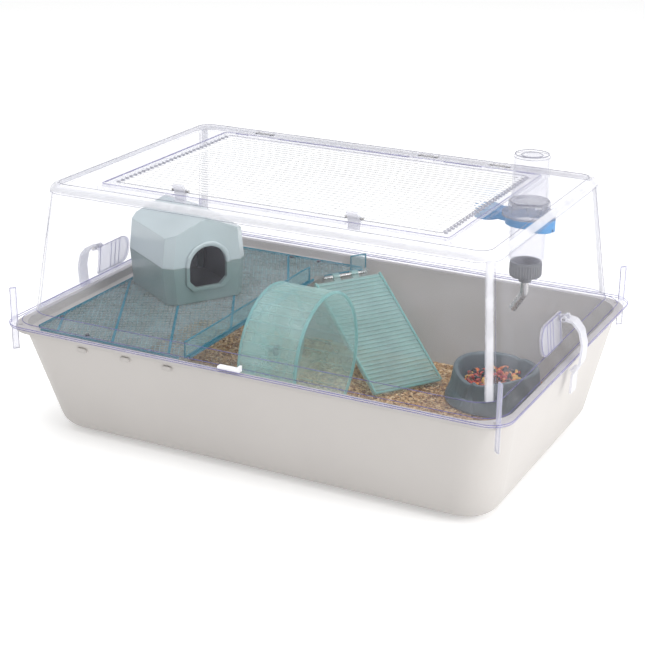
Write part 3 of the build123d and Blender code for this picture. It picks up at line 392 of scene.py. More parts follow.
def round_rect(width, depth, radius, z, centre=(0, 0)):
    """Points round a rounded rectangle, in metres from millimetres."""
    points = []
    for cx, cy, start in ((1, 1, 0), (-1, 1, 90), (-1, -1, 180), (1, -1, 270)):
        for i in range(CORNER_STEPS + 1):
            a = math.radians(start + 90 * i / CORNER_STEPS)
            x = centre[0] + cx * (width / 2 - radius) + radius * math.cos(a)
            y = centre[1] + cy * (depth / 2 - radius) + radius * math.sin(a)
            points.append(Vector((x, y, z)) * MM)
    return points


def mm(*values):
    return Vector(values) * MM


def flat_way(degrees):
    """A level direction, turned from +X."""
    return Vector((math.cos(math.radians(degrees)), math.sin(math.radians(degrees)), 0))


WEARS = {
    "tub": ("tub",),
    "dome": ("dome_walls", "dome_roof"),
    "flange": ("dome_flange",),
    "lid": ("lid_frame",),
    "plate": ("clip_plate_left", "clip_plate_right", "corner_legs"),
    "clip": ("clip_lever_left", "clip_lever_right", "lid_latch_left", "lid_latch_right"),
    "white": ("front_catch",),
    "shelf": ("shelf_plate",),
    "rail": ("shelf_rail_side", "shelf_rail_back"),
    "peg": ("shelf_pegs",),
    "aqua": ("wheel_stand", "wheel_hub"),
    "ramp": ("ramp",),
    "house_top": ("house_roof",),
    "house_low": ("house_base",),
    "cap": ("axle_cap",),
    "sleeve": ("bottle_sleeve",),
    "blue": ("bottle_collar",),
    "bottle": ("bottle_body",),
    "seal": ("cap_seal",),
    "steel": ("ramp_rod", "wheel_axle", "lid_hinge_pins", "lid_latch_pins", "clip_pin_left",
              "clip_pin_right", "spout_tube", "spout_ball"),
}
for look, names in WEARS.items():
    for name in names:
        NODES[name].data.materials.clear()
        NODES[name].data.materials.append(M[look])


# ---------------------------------------------------------------- bedding
BED_TOP = 0.0255            # the bed lies a little lower than the loose chips on it
CHIP_LEVEL, CHIP_TOP = 0.0262, 0.0281
CHIPS = 24000
CHIP_SIZES = ((0.0014, 0.0030), (0.0009, 0.0015), (0.0005, 0.0009))     # half the length, width and thickness
CHIP_MARGIN = 0.003
BED_CORNER = 0.031
BED_SHARE = 0.9985          # the bed keeps off the tub's walls


def bedding():
    low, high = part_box("bedding")
    mid = (low + high) / 2
    source = NODES["bedding"].data
    verts = [v.co.copy() for v in source.vertices]
    for v in verts:
        v.z = low.z + (v.z - low.z) * (BED_TOP - low.z) / (high.z - low.z)
        v.x *= BED_SHARE
        v.y *= BED_SHARE
    faces = [tuple(p.vertices) for p in source.polygons]
    bed = piece("bedding_bed", verts, faces, M["chip_bed"], "tub", slot="bedding")
    half = np.array([high.x - mid.x - CHIP_MARGIN, high.y - mid.y - CHIP_MARGIN])
    at = rng.uniform(-1, 1, (CHIPS * 2, 2)) * half
    over = np.abs(at) - (half - BED_CORNER)
    keep = (over.min(1) < 0) | (np.hypot(over[:, 0], over[:, 1]) < BED_CORNER)
    at = at[keep][:CHIPS]
    count = len(at)
    size = np.stack([rng.uniform(*span, count) for span in CHIP_SIZES], 1)
    corners = np.array([[x, y, z] for z in BOTH for y in BOTH for x in BOTH], float)
    shape = corners[None] * size[:, None] * rng.uniform(0.6, 1.0, (count, 8, 1))
    yaw, pitch = rng.uniform(0, 2 * math.pi, count), rng.normal(0, 0.35, count)
    cy, sy, cp, sp = [wave[:, None] for wave in (np.cos(yaw), np.sin(yaw), np.cos(pitch), np.sin(pitch))]
    x = shape[:, :, 0] * cp + shape[:, :, 2] * sp
    z = -shape[:, :, 0] * sp + shape[:, :, 2] * cp
    y = shape[:, :, 1]
    px = x * cy - y * sy + at[:, 0, None]
    py = x * sy + y * cy + at[:, 1, None]
    swell = 0.0009 * np.sin(at[:, 0] * 61) * np.cos(at[:, 1] * 47)
    lift = CHIP_LEVEL + swell + rng.uniform(-0.0004, 0.0005, count)
    pz = np.minimum(z + lift[:, None], CHIP_TOP)
    points = np.stack([px, py, pz], 2).reshape(-1, 3)
    box = np.array([[0, 2, 3, 1], [4, 5, 7, 6], [0, 1, 5, 4], [2, 6, 7, 3], [0, 4, 6, 2], [1, 3, 7, 5]])
    faces = (box[None] + (np.arange(count) * 8)[:, None, None]).reshape(-1, 4)
    chips = piece("bedding_chips", points.tolist(), faces.tolist(), M["chips"], "tub", slot="bedding",
                  smooth=False)
    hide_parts("bedding")
    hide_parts("bedding")


bedding()


# ---------------------------------------------------------------- dome edges
# each ring's width, depth, corner radius, height and thickness
FLANGE_RINGS = ((549.0, 389.0, 23.5, 126.9, 0.45), (548.4, 388.4, 23.2, 124.8, 0.35),
                (532.0, 372.0, 26.0, 128.2, 0.35), (512.0, 348.0, 26.0, 137.0, 0.35))
ROOF_RINGS = ((466.5, 294.5, 13.0, 269.85, 0.32), (484.6, 313.2, 22.0, 261.6, 0.25))
WALL_FOOT, WALL_HEAD = (252.2, 161, 138), (238.4, 144, 259)
LEG_AT, LEG_EDGE = (264, 184), 3.1
LEG_SPANS = ((98.6, 123.0, 1), (127.6, 164.0, 0))       # heights, and 1 for grey or 0 for lavender
LEG_ENDS = ((98.8, 1), (164.2, 0))


def dome_edges():
    lines = Parts()
    for width, depth, radius, z, thick in FLANGE_RINGS:
        lines.line(round_rect(width, depth, radius, z), thick * MM, closed=True)
    lines.make("dome_edge_lines", M["edge"], "dome", slot="clear_plastic")
    seams = Parts()
    for width, depth, radius, z, thick in ROOF_RINGS:
        seams.line(round_rect(width, depth, radius, z), thick * MM, closed=True)
    for sx in BOTH:
        for sy in BOTH:
            path = [[a + t * (b - a) for a, b in zip(WALL_FOOT, WALL_HEAD)] for t in (0, 0.25, 0.5, 0.75, 1)]
            seams.line([mm(sx * x, sy * y, z) for x, y, z in path], 0.35 * MM)
    seams.make("dome_seam_lines", M["seam"], "dome", slot="clear_plastic")
    legs = Parts()
    for sx in BOTH:
        for sy in BOTH:
            out = Vector((sx, sy, 0)).normalized()
            foot = Vector((sx * LEG_AT[0], sy * LEG_AT[1], 0))
            for a in (-LEG_EDGE, LEG_EDGE):
                for low_z, high_z, kind in LEG_SPANS:
                    legs.line([(foot + out * a + UP * z) * MM for z in (low_z, high_z)], 0.4 * MM, kind)
            for z, kind in LEG_ENDS:
                legs.line([(foot + out * a + UP * z) * MM for a in (-2.8, 2.8)], 0.5 * MM, kind)
    legs.make("leg_edges", [M["edge"], M["seam"]], "dome", slot="clear_plastic")


dome_edges()


# ---------------------------------------------------------------- lid
WIRES, WIRE_PITCH = 29, 7.7
CROSSBARS = (-66 * MM, 56 * MM)
BAR_INSET = 6 * MM
LID_CENTRE, LID_TOP = (-2.5, -1.0), 269.9
HINGE_Y, HINGE_SPANS = 123.0, ((-178, -162), (-124, 36), (77, 120), (159, 180))
LID_SIDE_X = -191


def lid():
    wires = Parts()
    low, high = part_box("lid_grid")
    mid = (low + high) / 2
    z = mid.z
    r = (high.z - low.z) / 2
    rows = [mid.y + (i - WIRES // 2) * WIRE_PITCH * MM for i in range(WIRES)]
    for y in rows:
        wires.tube([(low.x + r, y, z), (mid.x, y, z), (high.x - r, y, z)], r * 0.98)
    for x in (low.x + BAR_INSET, *CROSSBARS, high.x - BAR_INSET):
        wires.tube([(x, y, z - 0.1 * MM) for y in (low.y + r, mid.y, high.y - r)], r * 0.9)
    wires.make("lid_wires", M["wire"], "lid", slot="white_wire", replaces=("lid_grid",))
    beads = Parts()
    for y in rows:
        for x in (low.x - 2.5 * MM, high.x + 2.5 * MM):
            beads.tube([(x + end * 1.4 * MM, y, z + 0.4 * MM) for end in BOTH], 1.25 * MM)
    beads.make("lid_wire_seats", M["bead"], "lid", slot="clear_plastic")
    rim = Parts()
    rim.line(round_rect(377.6, 248.6, 4.5, LID_TOP, LID_CENTRE), 0.35 * MM, 0, closed=True)
    rim.line(round_rect(354.0, 225.0, 2.8, LID_TOP, LID_CENTRE), 0.28 * MM, 1, closed=True)
    for a, b in HINGE_SPANS:
        rim.line([mm(x, HINGE_Y, LID_TOP - 0.3) for x in (a, (a + b) / 2, b)], 0.7 * MM)
    rim.line([mm(LID_SIDE_X, y, LID_TOP - 0.3) for y in (-118, 0, 118)], 0.6 * MM)
    rim.make("lid_edge_lines", [M["edge"], M["seam"]], "lid", slot="clear_plastic")


lid()


# ---------------------------------------------------------------- shelf
FALL = flat_way(-34)                    # the ramp runs down this way
ALONG = Vector((-FALL.y, FALL.x, 0))    # and its head lies along this one
RAMP_TOP = Vector((-45.0, 137.0, 118.0))
SHELF_LEFT, SHELF_RIGHT, SHELF_FRONT, SHELF_BACK = -252, -68, -170, 172
GRID_CENTRE, GRID_ANGLE = Vector((-168, -20, 0)), -62.0
GRID_ROWS, GRID_PITCH = 60, 4.9
SHORTEST_BAR, BAR_MARGIN = 16, 6
RIB_ROWS, RIB_PITCH = 2, 59
LATTICE, RIB, EDGE_RIB = (0.75, 118.15, 118.75), (2.9, 118.2, 119.15), (2.0, 116.1, 118.9)


def edge_x(y):
    """Where the shelf's slanting edge under the ramp's head is, at a given y."""
    start = RAMP_TOP - FALL * 7
    return start.x + (y - start.y) / ALONG.y * ALONG.x


def shelf():
    corner_y = (SHELF_RIGHT - edge_x(0)) / ALONG.x * ALONG.y
    outline = [Vector((x, y, 0)) for x, y in (
        (SHELF_LEFT, SHELF_FRONT), (SHELF_RIGHT, SHELF_FRONT), (SHELF_RIGHT, corner_y),
        (edge_x(SHELF_BACK), SHELF_BACK), (SHELF_LEFT, SHELF_BACK))]
    edges = list(zip(outline, outline[1:] + outline[:1]))

    def spans(point, way):
        """The stretches of a line that lie inside the outline."""
        hits = []
        for a, b in edges:
            e = b - a
            det = way.x * -e.y + way.y * e.x
            if abs(det) < 1e-6:
                continue
            d = a - point
            if 0 <= (way.x * d.y - way.y * d.x) / det <= 1:
                hits.append((d.x * -e.y + d.y * e.x) / det)
        hits.sort()
        return list(zip(hits[::2], hits[1::2]))

    def lay(parts, p, q, width, low, high):
        parts.bar(p.xy * MM, q.xy * MM, width * MM, low * MM, high * MM)

    def rows(parts, angle, count, pitch, shortest, section):
        """Parallel bars across the shelf, each a little short of its edge."""
        way = flat_way(angle)
        side = Vector((-way.y, way.x, 0))
        for i in range(-count, count + 1):
            base = GRID_CENTRE + side * i * pitch
            for a, b in spans(base, way):
                if b - a > shortest:
                    lay(parts, base + way * (a + BAR_MARGIN), base + way * (b - BAR_MARGIN), *section)

    mesh = Parts()
    ribs = Parts()
    for angle in (GRID_ANGLE, GRID_ANGLE + 90):
        rows(mesh, angle, GRID_ROWS, GRID_PITCH, SHORTEST_BAR, LATTICE)
    rows(ribs, GRID_ANGLE, RIB_ROWS, RIB_PITCH, 0, RIB)
    for a, b in edges:
        way = (b - a).normalized()
        inward = Vector((-way.y, way.x, 0))
        lay(ribs, a + way * 9 + inward * 1.2, b - way * 9 + inward * 1.2, *EDGE_RIB)
    mesh.make("shelf_lattice", M["lattice"], "tub", slot="teal_shelf")
    ribs.make("shelf_ribs", M["teal"], "tub", slot="teal_edge")
    rails = Parts()
    low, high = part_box("shelf_rail_side")
    x = (low.x + high.x) / 2
    front, back, foot, top = low.y + 0.0009, high.y - 0.0011, low.z + 0.001, high.z - 0.0009
    rails.line([(x, y, z) for y, z in ((front, foot), (front, top), (high.y - 0.018, top),
                                       (back, high.z - 0.0016), (back, foot))], 0.85 * MM)
    rails.line([(x, y, low.z + 0.0011) for y in (low.y + 0.002, high.y - 0.002)], 1.0 * MM)
    low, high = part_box("shelf_rail_back")
    mid = (low + high) / 2
    half = ALONG * 9.7 * MM
    a, b = mid - half, mid + half
    rails.line([(p.x, p.y, z) for p, z in ((a, low.z + 0.001), (a, high.z - 0.001), (b, high.z - 0.001),
                                           (b, low.z + 0.001))], 0.8 * MM)
    rails.make("rail_edges", M["teal"], "tub", slot="teal_edge")


shelf()


# ---------------------------------------------------------------- ramp
RAMP_SLOPE = math.radians(31.6)
RUNGS, RUNG_START, RUNG_PITCH = 28, 11, 150.0 / 27
RUNG_HALF, SIDE_HALF, FOOT_HALF = 40.6, 41.7, 41.5


def ramp():
    level, fall = math.cos(RAMP_SLOPE), math.sin(RAMP_SLOPE)
    down = Vector((FALL.x * level, FALL.y * level, -fall))
    normal = Vector((FALL.x * fall, FALL.y * fall, level))
    lines = Parts()
    for i in range(RUNGS):
        p = RAMP_TOP + down * (RUNG_START + i * RUNG_PITCH) + normal * 2.2
        lines.line([(p - ALONG * RUNG_HALF) * MM, p * MM, (p + ALONG * RUNG_HALF) * MM], 0.55 * MM, 1)
    for side in BOTH:
        a = RAMP_TOP + down * 8 + ALONG * side * SIDE_HALF + normal * 3.5
        b = a + down * 156
        lines.tube([a * MM, (a + b) / 2 * MM, b * MM], 0.9 * MM)
    a = RAMP_TOP + down * 163.8 + normal * 0.6
    lines.tube([(a - ALONG * FOOT_HALF) * MM, a * MM, (a + ALONG * FOOT_HALF) * MM], 1.0 * MM)
    lines.make("ramp_lines", [M["aqua_line"], M["aqua_rib"]], "ramp", slot="aqua_wheel")


ramp()


# ---------------------------------------------------------------- wheel
WHEEL = Vector((0, -73.0, 104.0))
RIBS, STEPS_PER_RIB = 40, 8
RIB_HEIGHT = 0.7
# the drum's section: along the axle, radius, and whether a rib lifts (1) or sinks (-1) it there
DRUM = ((-26, 20, 0), (-26, 66, 0), (-25.5, 70.0, 0), (-24.5, 70.6, 0), (-23.2, 70.4, 0), (-22.6, 69.4, 1),
        (-10, 69.4, 1), (7, 69.4, 1), (24, 69.4, 1), (36.6, 69.4, 1), (37.2, 70.4, 0), (38.5, 70.6, 0),
        (39.6, 70.1, 0), (40, 69.0, 0), (39.6, 67.9, 0), (37, 67.7, 0), (36, 67.7, -1), (24, 67.7, -1),
        (7, 67.7, -1), (-10, 67.7, -1), (-22, 67.7, -1), (-23.6, 66.5, 0), (-24, 60, 0), (-24, 20, 0))
RIBBED = range(5, 9)                                # the faces between DRUM points that show the ribs
RIMS = (*range(1, 5), *range(9, 15))                # and those of the two thick rims
SPOKES, SPOKE_TURN = 6, 0.3


def wheel():
    total = RIBS * STEPS_PER_RIB
    verts, faces, index = [], [], []
    for k in range(total):
        a = 2 * math.pi * k / total
        crest = max(0.0, math.cos(2 * math.pi * k / STEPS_PER_RIB)) ** 2
        for x, r, sign in DRUM:
            r = r + sign * RIB_HEIGHT * crest
            verts.append((WHEEL + Vector((x, r * math.cos(a), r * math.sin(a)))) * MM)
    n = len(DRUM)
    for k in range(total):
        j = (k + 1) % total
        for i in range(n):
            m = (i + 1) % n
            faces.append((k * n + i, k * n + m, j * n + m, j * n + i))
            rib = k % STEPS_PER_RIB == 0 and i in RIBBED
            index.append(2 if rib else 1 if i in RIMS else 0)
    piece("wheel_drum_ribbed", verts, faces, [M["aqua"], M["aqua_line"], M["aqua_rib"]], "wheel",
          slot="aqua_wheel", replaces=("wheel_drum",), indices=index)
    spokes = Parts()
    for k in range(SPOKES):
        a = 2 * math.pi * k / SPOKES + SPOKE_TURN
        way = Vector((0, math.cos(a), math.sin(a)))
        p, q = WHEEL + way * 9.5, WHEEL + way * 66
        path = ((p, -25), ((p + q) / 2, -24.7), (q, -24.5))
        spokes.tube([(at + Vector((x, 0, 0))) * MM for at, x in path], 1.2 * MM)
    for r in (21, 44):
        spokes.tube([(WHEEL + Vector((-24.8, r * c, r * s))) * MM for c, s in RING], 1.1 * MM, True)
    disc = [(WHEEL + Vector((x, r * c, r * s))) * MM
            for r in (9.1, 20.5) for c, s in RING for x in (-26, -24.2)]
    quads = []
    steps = len(RING)
    for t in range(steps):
        a, b = 2 * t, 2 * ((t + 1) % steps)
        c, d = 2 * steps + b, 2 * steps + a
        quads += [(a, b, c, d), (a + 1, d + 1, c + 1, b + 1), (a, a + 1, b + 1, b), (d, c, c + 1, d + 1)]
    spokes.add(disc, quads)
    spokes.make("wheel_spokes", M["aqua"], "wheel", slot="aqua_wheel")


wheel()


# ---------------------------------------------------------------- house
ACROSS = flat_way(57.3)
FORWARD = Vector((ACROSS.y, -ACROSS.x, 0))
HOUSE = Vector((-179.0, 14.0, 119.4))
DOOR_HALF, DOOR_SILL = 22.0, 17.0
DOOR_ARCH = 40.0            # the height of the arch's centre
SEAM = 41.0                 # where roof and base meet
LIP = 2.0
HOOD_OUT, CROWN_OUT, LIP_OUT = 52.7, 53.2, 52.4         # how far these stand out from the house's centre
WALL = 2.7                  # the painted shade shell stands this far inside the outline
HALF_DEPTH = 51.5


def house_point(u, v, w):
    """Across the front, up from the floor and out through the door, in millimetres."""
    return (HOUSE + ACROSS * u + UP * v + FORWARD * w) * MM


def house():
    hood = Parts()
    cut = math.asin((SEAM + 0.4 - DOOR_ARCH) / DOOR_HALF)
    g = DOOR_HALF + LIP
    arc = [cut + (math.pi - 2 * cut) * i / 24 for i in range(25)]
    path = [house_point(g * math.cos(a), DOOR_ARCH + g * math.sin(a), HOOD_OUT) for a in arc]
    hood.tube(path, 2.0 * MM, sides=10)
    r = DOOR_HALF + 3.6
    arc = [math.radians(d) for d in range(25, 156, 5)]
    path = [house_point(r * math.cos(a), DOOR_ARCH + r * math.sin(a), CROWN_OUT) for a in arc]
    hood.tube(path, 1.5 * MM, sides=10)
    hood.make("house_door_hood", M["house_top"], "house_roof", slot="house_light")
    foot = Parts()
    cut = math.asin((SEAM - 0.6 - DOOR_ARCH) / DOOR_HALF)
    path = [(g * math.cos(cut), SEAM - 0.6), (g, DOOR_ARCH - 2), (g, DOOR_SILL + 8)]
    for a in [math.radians(d) for d in (-20, -45, -70, -90)]:
        path.append((g - 9 + 9 * math.cos(a), DOOR_SILL + 7 + 9 * math.sin(a)))
    path.append((0, DOOR_SILL - LIP))
    path += [(-x, y) for x, y in reversed(path[:-1])]
    foot.tube([house_point(x, y, LIP_OUT) for x, y in path], 1.5 * MM, sides=10)
    foot.make("house_door_lip", M["house_low"], "house", slot="house_dark")
    floor_half, wide_half, eave, ridge = 45.5 - WALL, 49 - WALL, 74 - WALL / 2, 93 - WALL
    deep = HALF_DEPTH - WALL

    def paint_shade_shell(name, outline, body):
        """A near-black open shell inside the house, from the back wall nearly to the front: painted shade for
        its dark inside.
        """
        rings = ((0.9, -deep), (1, -deep + 9), (1, deep - 9))
        n = len(outline)
        faces = [tuple(range(n))]
        for ring in (0, n):
            for i in range(n - 1):
                faces.append((ring + i, ring + n + i, ring + n + i + 1, ring + i + 1))
        parts = Parts()
        parts.add([house_point(u * share, v, w) for share, w in rings for u, v in outline], faces)
        parts.make(name, M["inside_shade"], body, slot="house_dark", smooth=False)

    # painted shade inside the base and inside the roof
    paint_shade_shell("house_painted_shade_low", [(-wide_half, SEAM - 0.5), (-floor_half, WALL), (floor_half, WALL),
                                (wide_half, SEAM - 0.5)], "house")
    paint_shade_shell("house_painted_shade_top", [(wide_half, SEAM + 0.5), (floor_half, eave), (0, ridge), (-floor_half, eave),
                                (-wide_half, SEAM + 0.5)], "house_roof")


house()


# ---------------------------------------------------------------- bowl and food
BOWL = Vector((162.0, 85.0, 28.2))
NOTCH = math.radians(-105)


BOWL_STEPS = 240
BOWL_HEIGHT = 38
# height and radius of the outside, for a bowl of that height
BOWL_SIDE = ((0.0, 53.2), (0.6, 54.0), (3.0, 53.8), (6.0, 52.6), (11, 50.8), (16, 49.0), (21, 48.0),
             (26, 47.2), (31, 46.4))
FLUTES = 14


def turned(a, start):
    """The angle from start to a, between -pi and pi."""
    return math.atan2(math.sin(a - start), math.cos(a - start))


def rim_height(a):
    """The rim dips at the notch in front, with a small bump in the dip, and a little at the back."""
    d = turned(a, NOTCH)
    wave = 34.5 + 3.3 * math.cos(2 * d + math.pi) * 0.5 + 1.6
    dip = 6.5 * math.exp(-((abs(d) / 0.55) ** 1.6)) - 3.2 * math.exp(-((abs(d - 0.05) / 0.07) ** 1.3))
    return wave - dip - 2.0 * math.exp(-((turned(a - math.pi, NOTCH) / 0.09) ** 2))


def bowl():
    verts, faces = [], []
    for k in range(BOWL_STEPS):
        a = 2 * math.pi * k / BOWL_STEPS
        off = abs(turned(a, NOTCH))
        h = rim_height(a)
        column = []
        for z, r in BOWL_SIDE:
            z = z * h / BOWL_HEIGHT if z > 12 else z
            if 1.0 < z < 23 and off < 0.4:
                groove = 1.0 - min(1.0, abs(off - (0.05 + (24 - z) * 0.006)) / 0.045)
                r -= 1.5 * max(0.0, groove)
            if 4 < z < 30:
                r -= max(0.0, math.cos(a * FLUTES)) ** 6 * 0.45
            column.append((r, z))
        column += [(45.7, h - 1.6), (45.2, h - 0.5), (44.2, h), (41.6, h), (40.5, h - 0.6), (39.8, h - 2.0),
                   (38.2, h * 0.62), (36.2, h * 0.36), (34.6, 10.6), (30, 8.4), (14, 7.4)]
        for r, z in column:
            verts.append((BOWL + Vector((r * math.cos(a), r * math.sin(a), z))) * MM)
    n = len(column)
    for k in range(BOWL_STEPS):
        j = (k + 1) % BOWL_STEPS
        for i in range(n - 1):
            faces.append((k * n + i, j * n + i, j * n + i + 1, k * n + i + 1))
    faces.append(tuple(k * n for k in reversed(range(BOWL_STEPS))))
    faces.append(tuple(k * n + n - 1 for k in range(BOWL_STEPS)))
    piece("food_bowl_shell", verts, faces, M["bowl"], "bowl", slot="bowl_plastic", replaces=("food_bowl",))


BITS, FOOD_REACH = 210, 31.0
BIT_SIZES = ((3.2, 6.6), (2.2, 3.6), (1.5, 2.7))        # half the length, width and thickness of a bit
SHARES = (0.30, 0.17, 0.13, 0.16, 0.24)                 # how much of each of the FOODS there is
FOOD_BED = ((20.0, 22.0), (33.0, 18.0), (35.0, 15.0), (34.2, 11.5), (20, 8.5))      # radius and height


def pebble():
    """The corners and faces of a ball made of 80 triangles."""
    t = (1 + 5 ** 0.5) / 2
    ball = ((-1, t, 0), (1, t, 0), (-1, -t, 0), (1, -t, 0), (0, -1, t), (0, 1, t), (0, -1, -t), (0, 1, -t),
            (t, 0, -1), (t, 0, 1), (-t, 0, -1), (-t, 0, 1))
    tris = ((0, 11, 5), (0, 5, 1), (0, 1, 7), (0, 7, 10), (0, 10, 11), (1, 5, 9), (5, 11, 4), (11, 10, 2),
            (10, 7, 6), (7, 1, 8), (3, 9, 4), (3, 4, 2), (3, 2, 6), (3, 6, 8), (3, 8, 9), (4, 9, 5),
            (2, 4, 11), (6, 2, 10), (8, 6, 7), (9, 8, 1))
    verts, faces = [Vector(v).normalized() for v in ball], []
    for a, b, c in tris:
        s = len(verts)
        verts += [(verts[p] + verts[q]).normalized() for p, q in ((a, b), (b, c), (c, a))]
        faces += [(a, s, s + 2), (b, s + 1, s), (c, s + 2, s + 1), (s, s + 1, s + 2)]
    return verts, faces


def food():
    verts, faces = pebble()
    heap = Parts()
    for i in range(BITS):
        kind = rng.choice(len(FOODS), p=SHARES)
        r = FOOD_REACH * math.sqrt(rng.uniform(0, 1))
        a = rng.uniform(0, 2 * math.pi)
        surface = 27.5 - 6.0 * (r / 36) ** 2
        z = BOWL.z + surface - rng.uniform(0.2, 5.5)
        size = Vector([rng.uniform(*span) for span in BIT_SIZES])
        turn = Matrix.Rotation(rng.uniform(0, 6.3), 3, "Z")
        for axis in "YX":
            turn = turn @ Matrix.Rotation(rng.normal(0, 0.6), 3, axis)
        bend = rng.uniform(-0.6, 0.6)
        centre = Vector((BOWL.x + r * math.cos(a), BOWL.y + r * math.sin(a), z))
        points = []
        for v in verts:
            q = v * (1 + 0.16 * noise.noise(v * 2.1 + Vector((i, 0, 0))))
            q = Vector((q.x * size.x, q.y * size.y + bend * q.x * q.x * size.y * 0.6, q.z * size.z))
            points.append((centre + turn @ q) * MM)
        heap.add(points, faces, int(kind))
    heap.make("food_mix", FOODS, "bowl", slot="food", sharp=60)
    dark = Parts()
    ring, last = len(RING), len(FOOD_BED) - 1
    quads = [(i * ring + k, (i + 1) * ring + k, (i + 1) * ring + (k + 1) % ring, i * ring + (k + 1) % ring)
             for i in range(last) for k in range(ring)]
    quads += [tuple(range(ring)), tuple(reversed(range(last * ring, (last + 1) * ring)))]
    dark.add([(BOWL + Vector((r * c, r * s, z))) * MM for r, z in FOOD_BED for c, s in RING], quads)
    base = dark.make("food_bed", FOODS[3], "bowl", slot="food")
    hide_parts("food")


bowl()
food()


# ---------------------------------------------------------------- bottle
BOTTLE_X, BOTTLE_Y = 210.5, 20.0
CAP_STEPS, CAP_RIBS, CAP_RIB_DEPTH = 144, 36, 0.75
# the cap's section, radius and height: up the outside, over the top, then down and under inside
CAP = ((14.2, 194.6), (15.2, 194.9), (15.9, 196.0), (16.15, 197.5), (16.15, 200), (16.15, 202.5),
       (16.15, 205), (16.15, 207.5), (15.8, 209.2), (15.2, 210.0), (13.2, 210.0), (12.75, 209),
       (12.72, 197.5), (4.3, 197.5), (4.3, 188.6), (5.9, 188.5), (6.5, 189.2), (6.5, 193.6), (7.2, 194.5))
GROOVED = range(2, 8)           # the CAP points that the finger grooves cut into
# the bottle's moulded edges and its thread: radius, height and thickness
BOTTLE_RINGS = ((16.4, 318.3, 0.45), (10.5, 317.2, 0.35), (17.7, 316.0, 0.22), (12.1, 202.0, 0.4),
                (12.1, 204.0, 0.4), (12.1, 206.0, 0.4), (12.1, 208.0, 0.4), (19.0, 271.6, 0.35))
SLEEVE_RING = (26.0, 258.7, 0.5)


def bottle():
    verts, faces = [], []
    for k in range(CAP_STEPS):
        a = 2 * math.pi * k / CAP_STEPS
        crest = 0.5 + 0.5 * math.cos(a * CAP_RIBS)
        for i, (r, z) in enumerate(CAP):
            r = r - (CAP_RIB_DEPTH * (1 - crest) if i in GROOVED else 0)
            verts.append(mm(BOTTLE_X + r * math.cos(a), BOTTLE_Y + r * math.sin(a), z))
    n = len(CAP)
    for k in range(CAP_STEPS):
        j = (k + 1) % CAP_STEPS
        for i in range(n):
            m = (i + 1) % n
            faces.append((k * n + i, j * n + i, j * n + m, k * n + m))
    piece("bottle_cap_ribbed", verts, faces, M["cap"], "bottle", slot="cap_grey", replaces=("bottle_cap",))
    for name, rings, body, slot in (("bottle_lines", BOTTLE_RINGS, "bottle", "bottle_clear"),
                                    ("sleeve_lines", (SLEEVE_RING,), "dome", "sleeve_grey")):
        lines = Parts()
        for r, z, thick in rings:
            path = [mm(BOTTLE_X + r * c, BOTTLE_Y + r * s, z) for c, s in RING]
            lines.line(path, thick * MM, closed=True)
        lines.make(name, M["seam"], body, slot=slot)


bottle()


# ---------------------------------------------------------------- side clips
PLATE_LOW, PLATE_HIGH = 139.2, 169.4
PLATE_MID, PLATE_HALF = 154.3, 15.1
PLATE_NOSE = 14                 # the straight part starts this far from the round end
DOME_FOOT, DOME_RISE = 137, 133
FOOT_WIDTH, HEAD_WIDTH = 512, 484
PLATE_OUT = 2.3
PLATE_RIBS = (17, 25, 33, 54)


def clips():
    for name, side in (("right", 1), ("left", -1)):
        low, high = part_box("clip_plate_" + name)
        lines = Parts()

        def at(y, z):
            """A point on the dome's leaning short wall."""
            share = (z - DOME_FOOT) / DOME_RISE
            x = (FOOT_WIDTH + (HEAD_WIDTH - FOOT_WIDTH) * share) / 2 + PLATE_OUT
            return Vector((side * x * MM, y, z * MM))

        round_end, flat_end = (low.y, high.y) if side > 0 else (high.y, low.y)
        flat, turn = flat_end - side * 0.6 * MM, round_end + side * PLATE_NOSE * MM
        outline = [at(flat, PLATE_LOW), at(turn, PLATE_LOW)]
        for d in range(0, 181, 15):
            a = math.radians(270 - d)
            outline.append(at(round_end + side * (PLATE_NOSE * MM + 13.4 * MM * math.cos(a)),
                              PLATE_MID + PLATE_HALF * math.sin(a)))
        outline += [at(turn, PLATE_HIGH), at(flat, PLATE_HIGH)]
        lines.line(outline, 0.5 * MM)
        for t in PLATE_RIBS:
            y = round_end + side * t * MM
            lines.line([at(y, PLATE_LOW + 1), at(y, 154), at(y, PLATE_HIGH - 1)], 0.45 * MM)
        lines.make("clip_lines_" + name, M["edge"], "dome", slot="clip_plastic")


clips()


# ---------------------------------------------------------------- floor, light, camera
FLOOR_GAP = 0.0004
SKY = 0.66
AIM = Vector((0, 0, 0.12))
# each lamp's name, place, size and power
LAMPS = (("top_soft", (0.1, -0.1, 2.2), (2.2, 1.8), 34),
         ("right_soft", (2.1, -0.3, 0.9), (1.6, 1.6), 30),
         ("front_soft", (-0.9, -2.2, 1.2), (1.6, 1.2), 2))


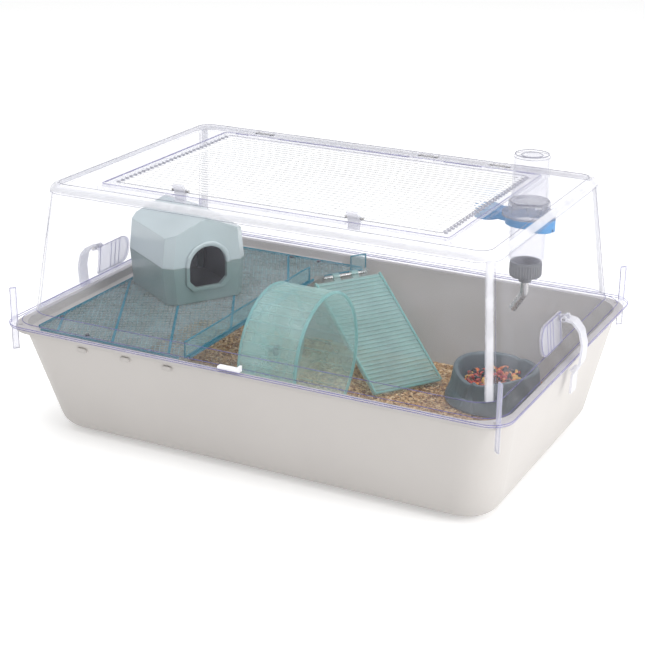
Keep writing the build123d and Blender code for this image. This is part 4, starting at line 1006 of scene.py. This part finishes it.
def stage():
    bpy.ops.mesh.primitive_plane_add(size=14, location=(0, 0, cad_low.z - FLOOR_GAP))
    floor = bpy.context.object
    floor.name = "floor"
    paper = plastic("floor_paper", (0.93, 0.93, 0.93), 0.004, 0.9, 300, 0.01, 3, glow=0.26)
    floor.data.materials.append(paper)
    world = bpy.data.worlds.new("world")
    bpy.context.scene.world = world
    world.use_nodes = True
    world.node_tree.nodes["Background"].inputs[0].default_value = (1, 1, 1, 1)
    world.node_tree.nodes["Background"].inputs[1].default_value = SKY
    for name, place, size, power in LAMPS:
        data = bpy.data.lights.new(name, "AREA")
        data.shape = "RECTANGLE"
        data.size, data.size_y = size
        data.energy = power
        lamp = bpy.data.objects.new(name, data)
        lamp.location = place
        lamp.rotation_euler = (AIM - Vector(place)).to_track_quat("-Z", "Y").to_euler()
        bpy.context.scene.collection.objects.link(lamp)


# the view fitted to the photo: where the camera looks, from how far off, and its angles in degrees
VIEW_CENTRE, VIEW_DISTANCE = Vector((-0.00364, 0, 0.11281)), 1.65551
AZIMUTH, ELEVATION, ROLL = 26.72, 20.58, 0.67
LENS, SENSOR = 87.5, 36


def camera():
    az, el, roll = math.radians(AZIMUTH), math.radians(ELEVATION), math.radians(ROLL)
    back = Vector((math.sin(az) * math.cos(el), -math.cos(az) * math.cos(el), math.sin(el)))
    right = flat_way(AZIMUTH)
    up = back.cross(right)
    r = right * math.cos(roll) + up * math.sin(roll)
    u = -right * math.sin(roll) + up * math.cos(roll)
    spot = VIEW_CENTRE + back * VIEW_DISTANCE
    data = bpy.data.cameras.new("camera")
    data.lens = LENS
    data.sensor_width = SENSOR
    cam = bpy.data.objects.new("camera", data)
    rows = [(r[i], u[i], back[i], spot[i]) for i in range(3)]
    cam.matrix_world = Matrix((*rows, (0, 0, 0, 1)))
    bpy.context.scene.collection.objects.link(cam)
    bpy.context.scene.camera = cam


stage()
camera()
bpy.context.scene.view_settings.view_transform = "Standard"
# a ray crosses many clear walls here
bpy.context.scene.cycles.transparent_max_bounces = 32
bpy.context.scene.cycles.max_bounces = 12
